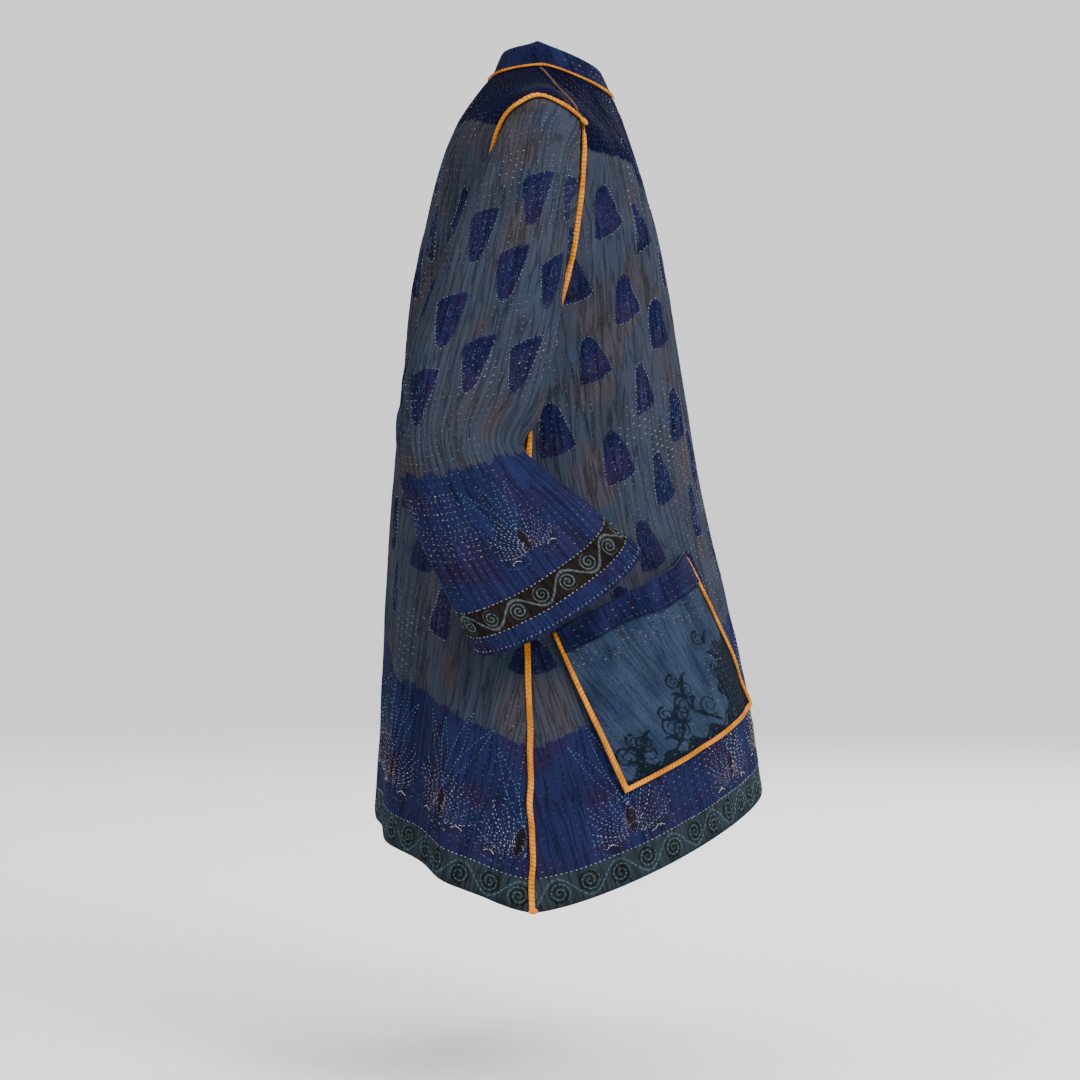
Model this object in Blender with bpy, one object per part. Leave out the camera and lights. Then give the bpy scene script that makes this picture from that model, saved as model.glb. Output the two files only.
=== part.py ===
"""Kantha quilted jacket, worn open, hollow, in the pose of a figure with a hand in each pocket.

Frame: +Z up, the jacket faces -Y, its right side is at -X, the origin is between the shoulders
at the height of the back of the neck. Every wall is a loft through rings or sections that are
worked out from the tables below; the outer points of a quilted wall carry its ridges.
"""
from collections import namedtuple

import bmesh
import bpy
import numpy as np

# Driving sizes, in metres
WALL = 0.0024
RIDGE_HEIGHT = 0.0015
RIDGE_PITCH = 0.0145
SEAM_RIDGES = 11
SEAM_GAP = 0.0006
REST_GAP = 0.0006
BINDING_GAP = 0.0010
SIDE_BINDING_GAP = 0.0001
BINDING_WIDTH = 0.0072
BINDING_THICK = 0.0014
NECK_BINDING_WIDTH = 0.0044
COLLAR_HEIGHT = 0.0260
COLLAR_LEAN = 0.45
POCKET_BULGE = 0.0230
POCKET_BAND_HEIGHT = 0.0260
ROUNDNESS = 2.3
VEE_POWER = 1.35
SMALL = 1e-9

# One ring of the body for each level, from the neck down to the hem
Ring = namedtuple("Ring", "level half_width front_y back_y front_z side_z back_z widest_y vee open_half")
RINGS = [
    Ring(0, 0.078, -0.069, 0.0475, -0.020, 0.002, -0.002, -0.002, 0.0, 0.010),
    Ring(1, 0.130, -0.086, 0.074, -0.066, -0.022, -0.038, -0.001, 0.0, 0.012),
    Ring(2, 0.194, -0.098, 0.093, -0.109, -0.043, -0.085, 0.000, 0.0, 0.014),
    Ring(3, 0.2005, -0.111, 0.108, -0.158, -0.105, -0.145, 0.002, 0.0, 0.016),
    Ring(4, 0.1995, -0.121, 0.118, -0.206, -0.165, -0.198, 0.004, 0.0, 0.018),
    Ring(5, 0.1990, -0.129, 0.125, -0.254, -0.222, -0.248, 0.005, 0.1, 0.020),
    Ring(6, 0.2000, -0.137, 0.131, -0.300, -0.272, -0.292, 0.005, 0.2, 0.022),
    Ring(7, 0.2060, -0.150, 0.138, -0.378, -0.360, -0.374, 0.010, 0.4, 0.025),
    Ring(8, 0.2260, -0.168, 0.144, -0.462, -0.462, -0.468, 0.012, 0.7, 0.028),
    Ring(9, 0.2480, -0.187, 0.148, -0.540, -0.562, -0.552, 0.010, 0.9, 0.031),
    Ring(10, 0.2700, -0.201, 0.152, -0.612, -0.660, -0.630, 0.007, 1.0, 0.034),
    Ring(11, 0.2900, -0.209, 0.155, -0.672, -0.757, -0.695, 0.006, 1.0, 0.037),
]

# Rows of the panels: level at the centre edge, level and y at the outer edge, and for the upper
# rows the angle and level that each half of the row bows toward, because the first row runs along
# the neck and then along the shoulder seam. The lower rows are plain rings.
PanelRow = namedtuple(
    "PanelRow", "centre_level edge_level edge_y inner_angle inner_level outer_angle outer_level",
    defaults=(None, None, None, None))
NECK_SIDE_ANGLE = 93
BELOW_ARM = [
    PanelRow(6, 6, 0.005),
    PanelRow(7, 7, 0.010),
    PanelRow(8.2, 8.2, 0.012),
    PanelRow(9.5, 9.5, 0.009),
    PanelRow(11, 11, 0.006),
]
FRONT_ROWS = [
    PanelRow(0, 2, -0.037, NECK_SIDE_ANGLE, 0),
    PanelRow(0.8, 2.45, -0.0365, 88, 0.20, 50, 1.90),
    PanelRow(1.6, 2.90, -0.0350, 70, 1.20, 48, 2.40),
    PanelRow(2.5, 3.45, -0.0320),
    PanelRow(3.6, 4.20, -0.0260),
    PanelRow(4.9, 5.15, -0.0130),
] + BELOW_ARM
BACK_ROWS = [
    PanelRow(0, 2, -0.037, NECK_SIDE_ANGLE, 0),
    PanelRow(0.6, 2.00, -0.018, 125, 0.43, 92.5, 0.90),
    PanelRow(1.2, 2.02, 0.000, 131, 1.00, 101, 1.27),
    PanelRow(1.8, 2.06, 0.017, 136, 1.60, 109, 1.69),
    PanelRow(2.4, 2.20, 0.031, 141, 2.20, 116, 2.13),
    PanelRow(3.0, 2.70, 0.042),
    PanelRow(3.9, 3.80, 0.049),
    PanelRow(4.9, 4.95, 0.041),
] + BELOW_ARM
FRONT_UNDERARM_ROW = 6
BACK_UNDERARM_ROW = 8

# Soft lengthwise folds of the body, by the angle from the front centre. Each rises from its
# first level and is gone again at its last one, over the reach below.
Fold = namedtuple("Fold", "angle half_angle depth first_level last_level")
FOLDS = [
    Fold(16, 6, -0.0035, 1.0, 9.0),
    Fold(29, 6, 0.0050, 0.6, 8.0),
    Fold(42, 7, -0.0040, 1.0, 8.0),
    Fold(55, 6, 0.0045, 2.0, 8.0),
    Fold(104, 6, -0.0035, 6.0, 16.0),
    Fold(117, 6, 0.0045, 4.0, 16.0),
    Fold(131, 7, -0.0045, 2.5, 16.0),
    Fold(146, 7, 0.0050, 2.0, 16.0),
    Fold(162, 7, -0.0035, 3.0, 16.0),
]
FOLD_REACH = 3.5

# Loops of the sleeve after its seam, from the armhole to the cuff
Loop = namedtuple("Loop", "mid_y mid_z swing across under_out under_drop over_out over_rise")
ARMHOLE_LOOP = Loop(0.006, -0.1570, 0, 0.0420, 0.2000, 0.1140, 0.1960, 0.1150)
SLEEVE_LOOPS = [
    Loop(0.006, -0.1580, 0, 0.0420, 0.2068, 0.1070, 0.2080, 0.1100),
    Loop(0.015, -0.1660, -2, 0.0430, 0.2138, 0.1030, 0.2270, 0.1030),
    Loop(0.0255, -0.1860, -5, 0.0500, 0.2150, 0.0980, 0.2500, 0.0880),
    Loop(0.0365, -0.2240, -8, 0.0570, 0.2150, 0.0790, 0.2710, 0.0640),
    Loop(0.0495, -0.2730, -10, 0.0620, 0.2155, 0.0490, 0.2870, 0.0360),
    Loop(0.0615, -0.3180, -10, 0.0615, 0.2165, 0.0240, 0.2970, 0.0160),
    Loop(0.0710, -0.3520, -4, 0.0540, 0.2190, 0.0060, 0.3020, 0.0040),
    Loop(0.0615, -0.3790, 8, 0.0595, 0.2230, 0.0, 0.3055, 0.0),
    Loop(0.0410, -0.4130, 20, 0.0665, 0.2300, 0.0, 0.3100, 0.0),
    Loop(0.0140, -0.4500, 28, 0.0745, 0.2375, 0.0, 0.3155, 0.0),
    Loop(-0.0165, -0.4890, 32.7, 0.0832, 0.2450, 0.0, 0.3210, 0.0),
]
SLEEVE_RIDGES = 28
SLEEVE_ROUNDNESS = 2.2
# How much of the armhole's own outline each loop still follows
OUTLINE_KEPT = [0.9, 0.7, 0.45, 0.25, 0.1, 0.0, 0.0, 0.0, 0.0, 0.0, 0.0]

# Corners of the pocket on the front panel: row and share of the row from the front edge
Corner = namedtuple("Corner", "row share")
POCKET_TOP_FRONT = Corner(7.72, 0.46)
POCKET_TOP_SIDE = Corner(8.30, 0.93)
POCKET_LOW_FRONT = Corner(9.12, 0.145)
POCKET_LOW_SIDE = Corner(9.43, 0.77)
POCKET_RIDGES = 12
POCKET_ROWS = 6

Finish = namedtuple("Finish", "name colour roughness")
QUILT = Finish("quilted_cotton", (0.040, 0.045, 0.080), 0.90)
NAVY = Finish("navy_cotton", (0.020, 0.022, 0.075), 0.90)
DENIM_BLUE = Finish("printed_blue_cotton", (0.035, 0.070, 0.130), 0.88)
ORANGE = Finish("orange_binding", (0.700, 0.290, 0.060), 0.80)


def clear_scene():
    """Remove whatever the scene starts with."""
    for old in list(bpy.data.objects):
        bpy.data.objects.remove(old, do_unlink=True)


def material_of(finish):
    """A Principled material with the cloth's colour."""
    material = bpy.data.materials.get(finish.name)
    if material:
        return material
    material = bpy.data.materials.new(finish.name)
    material.use_nodes = True
    shader = material.node_tree.nodes["Principled BSDF"]
    shader.inputs["Base Color"].default_value = (*finish.colour, 1.0)
    shader.inputs["Roughness"].default_value = finish.roughness
    shader.inputs["Metallic"].default_value = 0.0
    return material


def unit(vectors):
    """Vectors divided by their lengths."""
    return vectors / (np.linalg.norm(vectors, axis=-1, keepdims=True) + SMALL)


def through(column, level):
    """Smooth curve through the rings' values of one column, at fractional levels."""
    values = np.array([getattr(ring, column) for ring in RINGS])
    slopes = np.gradient(values)
    level = np.clip(level, 0, len(values) - 1)
    low = np.minimum(level.astype(int), len(values) - 2)
    t = level - low
    rise = t * t * (3 - 2 * t)
    return (values[low] * (1 - rise) + values[low + 1] * rise
            + slopes[low] * t * (1 - t) ** 2 - slopes[low + 1] * t * t * (1 - t))


def body_point(angle, level):
    """Point of the body at an angle in degrees from the front centre, and a level.

    Each ring is a rounded oval with its own front, side and back height. The height falls or
    rises with the share of the depth, smoothly above the underarm and as a vee at the hem.
    """
    turn = np.radians(angle)
    sine = np.abs(np.sin(turn)) ** (2 / ROUNDNESS)
    share = np.abs(np.cos(turn)) ** (2 / ROUNDNESS)
    to_front = np.cos(turn) > 0
    half_width = through("half_width", level)
    widest = through("widest_y", level)
    depth = np.where(to_front, through("front_y", level), through("back_y", level)) - widest
    end_z = np.where(to_front, through("front_z", level), through("back_z", level))
    side_z = through("side_z", level)
    vee = through("vee", level)
    soft = 1.15 * share ** 2 / (share + 0.15)
    pointed = share ** VEE_POWER
    x = -half_width * sine
    y = widest + share * depth
    z = side_z + (end_z - side_z) * (soft * (1 - vee) + pointed * vee)
    outward = unit(np.stack([x / half_width ** 2, (y - widest) / depth ** 2], axis=-1))
    move = np.zeros_like(x)
    for fold in FOLDS:
        grown = (np.clip((level - fold.first_level) / FOLD_REACH, 0, 1)
                 * np.clip((fold.last_level - level) / FOLD_REACH, 0, 1))
        move = move + fold.depth * grown * np.exp(-((angle - fold.angle) / fold.half_angle) ** 2)
    return np.stack([x + outward[..., 0] * move, y + outward[..., 1] * move, z], axis=-1)


def angle_at_y(y, level):
    """Angle at which the ring of a level has the given y."""
    level = np.array(float(level))
    widest = through("widest_y", level)
    end = through("front_y", level) if y < widest else through("back_y", level)
    share = np.clip((y - widest) / (end - widest), 0, 1)
    turn = np.degrees(np.arccos(share ** (ROUNDNESS / 2)))
    return float(turn if y < widest else 180 - turn)


def angle_at_opening(level):
    """Angle at which the front edge stands off the centre by the opening's half width."""
    level = np.array(float(level))
    share = through("open_half", level) / through("half_width", level)
    return float(np.degrees(np.arcsin(share ** (ROUNDNESS / 2))))


def evenly(points, count):
    """The polyline's points resampled at equal lengths."""
    steps = np.linalg.norm(np.diff(points, axis=0), axis=1)
    run = np.concatenate([[0], np.cumsum(steps)])
    places = np.linspace(0, run[-1], count)
    return np.stack([np.interp(places, run, points[:, axis]) for axis in range(3)], axis=1)


def panel_grid(rows, start_angle, count):
    """Grid of a half panel, its columns running from the centre edge to the outer edge.

    The first row has a corner where the neck meets the shoulder seam. Each later row is a curve
    of the third degree in angle and level, or straight, resampled at equal lengths.
    """
    share = np.linspace(0, 1, 241)[:, None]
    seam_count = 2 * SEAM_RIDGES + 1
    grid = []
    for row in rows:
        first = np.array([start_angle(row.centre_level), row.centre_level])
        last = np.array([angle_at_y(row.edge_y, row.edge_level), row.edge_level])
        if row.outer_angle is not None:
            inner = np.array([row.inner_angle, row.inner_level])
            outer = np.array([row.outer_angle, row.outer_level])
            place = (first * (1 - share) ** 3 + inner * 3 * share * (1 - share) ** 2
                     + outer * 3 * share ** 2 * (1 - share) + last * share ** 3)
            grid.append(evenly(body_point(place[:, 0], place[:, 1]), count))
        elif row.inner_angle is not None:
            corner = np.array([row.inner_angle, row.inner_level])
            neck = first + (corner - first) * share
            seam = corner + (last - corner) * share
            neck_points = evenly(body_point(neck[:, 0], neck[:, 1]), count - seam_count + 1)
            seam_points = evenly(body_point(seam[:, 0], seam[:, 1]), seam_count)
            grid.append(np.concatenate([neck_points, seam_points[1:]]))
        else:
            place = first + (last - first) * share
            grid.append(evenly(body_point(place[:, 0], place[:, 1]), count))
    return np.array(grid)


def grid_normals(grid, closed=False):
    """Unit normals of a grid, from the cross product of its row and column steps."""
    if closed:
        wrapped = np.concatenate([grid[:, -1:], grid, grid[:, :1]], axis=1)
        across = np.gradient(wrapped, axis=1)[:, 1:-1]
    else:
        across = np.gradient(grid, axis=1)
    return unit(np.cross(np.gradient(grid, axis=0), across))


def mirrored(grid):
    """The grid on the other side of the middle plane."""
    return grid * np.array([-1.0, 1.0, 1.0])


def add_solid(name, points, faces, finish, parts):
    """Make one named object, with its faces turned outward and its long faces shaded smooth."""
    mesh = bpy.data.meshes.new(name)
    mesh.from_pydata([tuple(point) for point in points], [], faces)
    work = bmesh.new()
    work.from_mesh(mesh)
    bmesh.ops.recalc_face_normals(work, faces=work.faces)
    work.to_mesh(mesh)
    work.free()
    mesh.shade_smooth()
    mesh.set_sharp_from_angle(angle=np.radians(50))
    mesh.materials.append(material_of(finish))
    solid = bpy.data.objects.new(name, mesh)
    parts.objects.link(solid)
    return solid


def ridge_heights(row_count, column_count, closed):
    """Height of the quilting at each outer point: a trough, a crest, a trough, a little uneven."""
    row = np.arange(row_count)[:, None]
    column = np.arange(column_count)[None, :]
    side = np.where(column % 2 == 1, 0.5, -0.5)
    uneven = 0.8 + 0.2 * np.sin(1.7 * column + 2.3 * row)
    heights = RIDGE_HEIGHT * side * uneven
    if not closed:
        heights[:, 0] = 0
        heights[:, -1] = 0
    return heights


def quilted_wall(name, grid, normals, finish, parts, closed=False, ridged=True):
    """Closed wall: outer grid with ridges, plain inner grid on every second column, and rims."""
    row_count, column_count = grid.shape[:2]
    heights = ridge_heights(row_count, column_count, closed) if ridged else np.zeros(grid.shape[:2])
    outer = grid + normals * heights[..., None]
    inner = grid[:, ::2] - normals[:, ::2] * WALL
    inner_count = inner.shape[1]
    start = row_count * column_count
    points = np.concatenate([outer.reshape(-1, 3), inner.reshape(-1, 3)])

    def out(row, column):
        return row * column_count + column % column_count

    def back(row, column):
        return start + row * inner_count + column % inner_count

    faces = []
    outer_spans = column_count if closed else column_count - 1
    inner_spans = inner_count if closed else inner_count - 1
    for row in range(row_count - 1):
        for column in range(outer_spans):
            faces.append((out(row, column), out(row, column + 1),
                          out(row + 1, column + 1), out(row + 1, column)))
        for column in range(inner_spans):
            faces.append((back(row, column), back(row + 1, column),
                          back(row + 1, column + 1), back(row, column + 1)))
        if not closed:
            last = column_count - 1
            end = inner_count - 1
            faces.append((out(row, 0), out(row + 1, 0), back(row + 1, 0), back(row, 0)))
            faces.append((out(row, last), back(row, end), back(row + 1, end), out(row + 1, last)))
    bottom = row_count - 1
    for column in range(inner_spans):
        for row in (0, bottom):
            edge = [out(row, 2 * column), out(row, 2 * column + 1), out(row, 2 * column + 2)]
            rim = [back(row, column + 1), back(row, column)]
            faces.append(tuple(edge + rim) if row else tuple((edge + rim)[::-1]))
    return add_solid(name, points, faces, finish, parts)


def ridge_columns(row):
    """Number of columns that gives the hem row its ridges, two columns to a ridge."""
    length = np.linalg.norm(np.diff(row, axis=0), axis=1).sum()
    return 2 * int(round(length / RIDGE_PITCH)) + 1


def cut_back(grid, last_column=True, seam=True):
    """The grid with its outer edge, and its shoulder edge, drawn back by half a seam gap."""
    result = grid.copy()
    if last_column:
        result[:, -1] += unit(grid[:, -2] - grid[:, -1]) * 0.5 * SEAM_GAP
    if seam:
        first = grid.shape[1] - 2 * SEAM_RIDGES - 1
        result[0, first:] += unit(grid[1, first:] - grid[0, first:]) * 0.5 * SEAM_GAP
    return result


def on_grid(grid, row, column):
    """Points of a grid at fractional rows and columns, on its flat faces."""
    row = np.clip(row, 0, grid.shape[0] - 1 - SMALL)
    column = np.clip(column, 0, grid.shape[1] - 1 - SMALL)
    low_row = row.astype(int)
    low_column = column.astype(int)
    by_row = (row - low_row)[..., None]
    by_column = (column - low_column)[..., None]
    near = grid[low_row, low_column] * (1 - by_column) + grid[low_row, low_column + 1] * by_column
    far = grid[low_row + 1, low_column] * (1 - by_column) + grid[low_row + 1, low_column + 1] * by_column
    return near * (1 - by_row) + far * by_row


def column_step(grid, row):
    """Mean distance between the columns of a grid at fractional rows."""
    steps = np.linalg.norm(np.diff(grid, axis=1), axis=2)
    return np.interp(row, np.arange(grid.shape[0]), steps[:, -6:].mean(axis=1))


# Cross section of a binding: share of its half width from the seam, and share of its thickness
BAND_PROFILE = [(1.0, 0.0), (1.0, 0.55), (0.5, 1.0)]


def strip(name, lines, finish, parts, closed=False):
    """Flat band with rounded edges, from the lines of its corners, given as (corner, place, xyz)."""
    corners, count = lines.shape[:2]
    points = lines.transpose(1, 0, 2).reshape(-1, 3)
    faces = []
    spans = count if closed else count - 1
    for place in range(spans):
        after = (place + 1) % count
        for corner in range(corners):
            beside = (corner + 1) % corners
            faces.append((place * corners + corner, place * corners + beside,
                          after * corners + beside, after * corners + corner))
    if not closed:
        faces.append(tuple(range(corners)))
        faces.append(tuple((count - 1) * corners + corner for corner in range(corners))[::-1])
    return add_solid(name, points, faces, finish, parts)


def seam_lines(first_side, second_side, width, gap=BINDING_GAP):
    """Corner lines of a band that straddles a seam.

    Each side is a function from a distance off the seam to points and normals on its panel.
    """
    lines = []
    for share, height in BAND_PROFILE:
        points, normals = first_side(0.5 * width * share)
        lines.append(points + normals * (0.5 * RIDGE_HEIGHT + gap + height * BINDING_THICK))
    for share, height in BAND_PROFILE[::-1]:
        points, normals = second_side(0.5 * width * share)
        lines.append(points + normals * (0.5 * RIDGE_HEIGHT + gap + height * BINDING_THICK))
    return np.array(lines)


def beside_outer_edge(grid, normals, rows):
    """Function giving the points of a panel at a distance in from its outer edge."""
    def at(distance):
        column = grid.shape[1] - 1 - distance / column_step(grid, rows)
        return on_grid(grid, rows, column), unit(on_grid(normals, rows, column))
    return at


def below_top_edge(grid, normals, columns):
    """Function giving the points of a panel at a distance down from its top edge."""
    def at(distance):
        step = np.linalg.norm(on_grid(grid, np.ones_like(columns), columns)
                              - on_grid(grid, np.zeros_like(columns), columns), axis=1)
        row = distance / step
        return on_grid(grid, row, columns), unit(on_grid(normals, row, columns))
    return at


def armhole(front, front_normals, back, back_normals):
    """Closed edge of the armhole with the body's normals, from the knot down the front and round."""
    edge = np.concatenate([front[:FRONT_UNDERARM_ROW + 1, -1], back[1:BACK_UNDERARM_ROW, -1][::-1]])
    normals = np.concatenate([
        front_normals[:FRONT_UNDERARM_ROW + 1, -1], back_normals[1:BACK_UNDERARM_ROW, -1][::-1]])
    along = np.roll(edge, -1, axis=0) - np.roll(edge, 1, axis=0)
    into_hole = unit(np.cross(normals, unit(along)))
    facing = np.sum(into_hole * (edge.mean(axis=0) - edge), axis=1, keepdims=True)
    return edge, normals, into_hole * np.sign(facing)


def closed_evenly(values, places, run):
    """Values of a closed line at given distances along it."""
    wrapped = np.concatenate([values, values[:1]])
    return np.stack([np.interp(places, run, wrapped[:, axis]) for axis in range(3)], axis=1)


def loop_points(loop, forward, over):
    """Points of one loop: shares forward and over, from -1 to 1, times the loop's reaches."""
    swing = np.radians(loop.swing)
    ahead = np.array([0, -np.cos(swing), np.sin(swing)])
    up = np.array([0, np.sin(swing), np.cos(swing)])
    top = np.array([-loop.over_out, loop.mid_y, loop.mid_z]) + up * loop.over_rise
    low = np.array([-loop.under_out, loop.mid_y, loop.mid_z]) - up * loop.under_drop
    centre = 0.5 * (top + low)
    flat_centre = np.array([centre[0], loop.mid_y, loop.mid_z])
    mix = np.abs(over)[:, None]
    return (centre * mix + flat_centre * (1 - mix) + forward[:, None] * ahead * loop.across
            + over[:, None] * 0.5 * (top - low))


def sleeve_grid(edge, normals, into_hole):
    """Sleeve grid: a root on the armhole's edge, then rounded loops from the table.

    A loop has its over point outward and up, its under point next to the body, and reaches
    forward and back along its swing direction.
    """
    count = 2 * SLEEVE_RIDGES
    wrapped = np.concatenate([edge, edge[:1]])
    run = np.concatenate([[0], np.cumsum(np.linalg.norm(np.diff(wrapped, axis=0), axis=1))])
    places = np.linspace(0, run[-1], count, endpoint=False)
    root = closed_evenly(edge, places, run) + unit(closed_evenly(into_hole, places, run)) * SEAM_GAP
    root_normals = unit(closed_evenly(normals, places, run))
    share = places / run[-1]
    under_share = run[FRONT_UNDERARM_ROW] / run[-1]
    before = 55 - 145 * share / under_share
    after = -90 - 215 * (share - under_share) / (1 - under_share)
    turn = np.radians(np.where(share < under_share, before, after))
    forward = np.sign(np.cos(turn)) * np.abs(np.cos(turn)) ** (2 / SLEEVE_ROUNDNESS)
    over = np.sign(np.sin(turn)) * np.abs(np.sin(turn)) ** (2 / SLEEVE_ROUNDNESS)
    grid = [root]
    own_outline = root - loop_points(ARMHOLE_LOOP, forward, over)
    for loop, kept in zip(SLEEVE_LOOPS, OUTLINE_KEPT):
        grid.append(loop_points(loop, forward, over) + own_outline * kept)
    grid = np.array(grid)
    found = grid_normals(grid, closed=True)
    inside = grid.mean(axis=1, keepdims=True)
    facing = np.sum(found[4:] * (grid[4:] - inside[4:]), axis=-1).mean()
    found = found * np.sign(facing)
    found[0] = root_normals
    return grid, found


def neck_line(front, back, columns):
    """Neck edge from the right front edge round the back to the left one, with its run-on."""
    front_part = slice(0, front.shape[1] - 2 * SEAM_RIDGES)
    back_part = slice(0, back.shape[1] - 2 * SEAM_RIDGES)
    line = []
    lead = []
    for grid, part in ((front, front_part), (back, back_part)):
        line.append(grid[0, part])
        lead.append(unit(grid[0, part] - grid[1, part]))
    halves = []
    for values in (line, lead):
        half = np.concatenate([values[0], values[1][::-1][1:]])
        halves.append(np.concatenate([half, mirrored(half)[::-1][1:]]))
    run = np.concatenate([[0], np.cumsum(np.linalg.norm(np.diff(halves[0], axis=0), axis=1))])
    places = np.linspace(0, run[-1], columns)
    path, way = [np.stack([np.interp(places, run, values[:, axis]) for axis in range(3)], axis=1)
                 for values in halves]
    return path, unit(way)


def collar_grid(path, lead):
    """Standing collar that runs on from the neck edge and leans in toward the neck."""
    level_lead = unit(lead * np.array([1.0, 1.0, 0.0]))
    rise = unit(level_lead * COLLAR_LEAN + np.array([0, 0, 1.0]))
    turned = unit(lead + rise)
    rows = [path + lead * SEAM_GAP]
    rows.append(rows[0] + turned * 0.2 * COLLAR_HEIGHT)
    rows.append(rows[1] + rise * 0.4 * COLLAR_HEIGHT)
    rows.append(rows[2] + rise * 0.4 * COLLAR_HEIGHT)
    return np.array(rows)[::-1]


def pocket_surface(front, normals, across, down, lift):
    """Pocket point for shares across (front to side) and down (top to bottom).

    The point is on the front panel between the four corners and is moved out, most of all at
    the middle of the open top.
    """
    row = ((POCKET_TOP_FRONT.row * (1 - across) + POCKET_TOP_SIDE.row * across) * (1 - down)
           + (POCKET_LOW_FRONT.row * (1 - across) + POCKET_LOW_SIDE.row * across) * down)
    share = ((POCKET_TOP_FRONT.share * (1 - across) + POCKET_TOP_SIDE.share * across) * (1 - down)
             + (POCKET_LOW_FRONT.share * (1 - across) + POCKET_LOW_SIDE.share * across) * down)
    column = share * (front.shape[1] - 1)
    bulge = POCKET_BULGE * np.sin(np.pi * across) ** 1.3 * np.clip(1 - down, 0, 1) ** 1.5
    out = unit(on_grid(normals, row, column))
    return on_grid(front, row, column) + out * (lift + bulge)[..., None]


def outward(grid, closed=False):
    """Normals of a grid, turned away from the middle of the jacket."""
    normals = grid_normals(grid, closed)
    facing = np.sum(normals * grid * np.array([1.0, 1.0, 0.0]), axis=-1).mean()
    return normals * np.sign(facing)


def add_pocket(side, flip, front, normals, parts):
    """Patch pocket with its turned-down band and its bound sides and bottom."""
    lift = REST_GAP + WALL + 0.5 * RIDGE_HEIGHT
    across, down = np.meshgrid(np.linspace(0, 1, 2 * POCKET_RIDGES + 1), np.linspace(0, 1, POCKET_ROWS))
    grid = pocket_surface(front, normals, across, down, np.full_like(across, lift))
    out = outward(grid)
    quilted_wall("pocket_" + side, flip(grid), flip(out), DENIM_BLUE, parts)

    last_row = POCKET_ROWS - 1
    last_column = 2 * POCKET_RIDGES
    step_down = np.linalg.norm(grid[-1, 0] - grid[0, 0]) / last_row
    step_across = np.linalg.norm(grid[-1, -1] - grid[-1, 0]) / last_column
    band_side = (BINDING_WIDTH + 2 * SEAM_GAP) / step_across
    band_columns, band_rows = np.meshgrid(np.linspace(band_side, last_column - band_side, 17),
                                          np.linspace(0, POCKET_BAND_HEIGHT / step_down, 3))
    band_out = unit(on_grid(out, band_rows, band_columns))
    band = on_grid(grid, band_rows, band_columns) + band_out * (0.5 * RIDGE_HEIGHT + REST_GAP + WALL)
    quilted_wall("pocket_band_" + side, flip(band), flip(band_out), NAVY, parts, ridged=False)

    side_run = np.linspace(0, 1, last_row + 2)
    low_run = np.linspace(0, 1, 9)
    lines = []
    profile = [(2 * SEAM_GAP, 0.0), (2 * SEAM_GAP, 0.55), (0.25 * BINDING_WIDTH, 1.0),
               (0.75 * BINDING_WIDTH, 1.0), (BINDING_WIDTH, 0.55), (BINDING_WIDTH, 0.0)]
    for inset, height in profile:
        low = last_row - inset / step_down
        left = inset / step_across
        right = last_column - left
        rows = np.concatenate([side_run * low, np.full(7, low), side_run[::-1] * low])
        columns = np.concatenate([np.full(last_row + 2, left), left + (right - left) * low_run[1:-1],
                                  np.full(last_row + 2, right)])
        rise = 0.5 * RIDGE_HEIGHT + REST_GAP + height * BINDING_THICK
        lines.append(on_grid(grid, rows, columns) + unit(on_grid(out, rows, columns)) * rise)
    strip("binding_pocket_" + side, flip(np.array(lines)), ORANGE, parts)


def add_bindings(side, flip, front, front_normals, back, back_normals, parts):
    """Bindings on the armhole, the side seam and the shoulder seam of one side."""
    front_rows = np.arange(0, FRONT_UNDERARM_ROW + 0.1, 0.5)
    back_rows = np.arange(BACK_UNDERARM_ROW - 0.5, 0.1, -0.5)
    on_front = beside_outer_edge(front, front_normals, front_rows)
    on_back = beside_outer_edge(back, back_normals, back_rows)
    lines = []
    for share, height in [(0.06, 0.0), (0.06, 0.55), (0.25, 1.0), (0.75, 1.0), (1.0, 0.55), (1.0, 0.0)]:
        points, normals = on_front(share * BINDING_WIDTH)
        more_points, more_normals = on_back(share * BINDING_WIDTH)
        points = np.concatenate([points, more_points])
        normals = np.concatenate([normals, more_normals])
        lines.append(points + normals * (0.5 * RIDGE_HEIGHT + BINDING_GAP + height * BINDING_THICK))
    strip("binding_armhole_" + side, flip(np.array(lines)), ORANGE, parts, closed=True)

    below = np.arange(0, front.shape[0] - FRONT_UNDERARM_ROW - 0.9, 0.5)
    first_row = np.linalg.norm(front[FRONT_UNDERARM_ROW + 1, -1] - front[FRONT_UNDERARM_ROW, -1])
    below[0] = (BINDING_WIDTH + 3 * SEAM_GAP) / first_row
    lines = seam_lines(beside_outer_edge(front, front_normals, FRONT_UNDERARM_ROW + below),
                       beside_outer_edge(back, back_normals, BACK_UNDERARM_ROW + below), BINDING_WIDTH,
                       SIDE_BINDING_GAP)
    strip("binding_side_" + side, flip(lines), ORANGE, parts)

    seam_columns = 2 * SEAM_RIDGES
    inward = np.linspace(1.8, seam_columns - 1.2, 8)
    lines = seam_lines(below_top_edge(front, front_normals, front.shape[1] - 1 - inward),
                       below_top_edge(back, back_normals, back.shape[1] - 1 - inward), BINDING_WIDTH)
    strip("binding_shoulder_" + side, flip(lines), ORANGE, parts)


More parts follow.
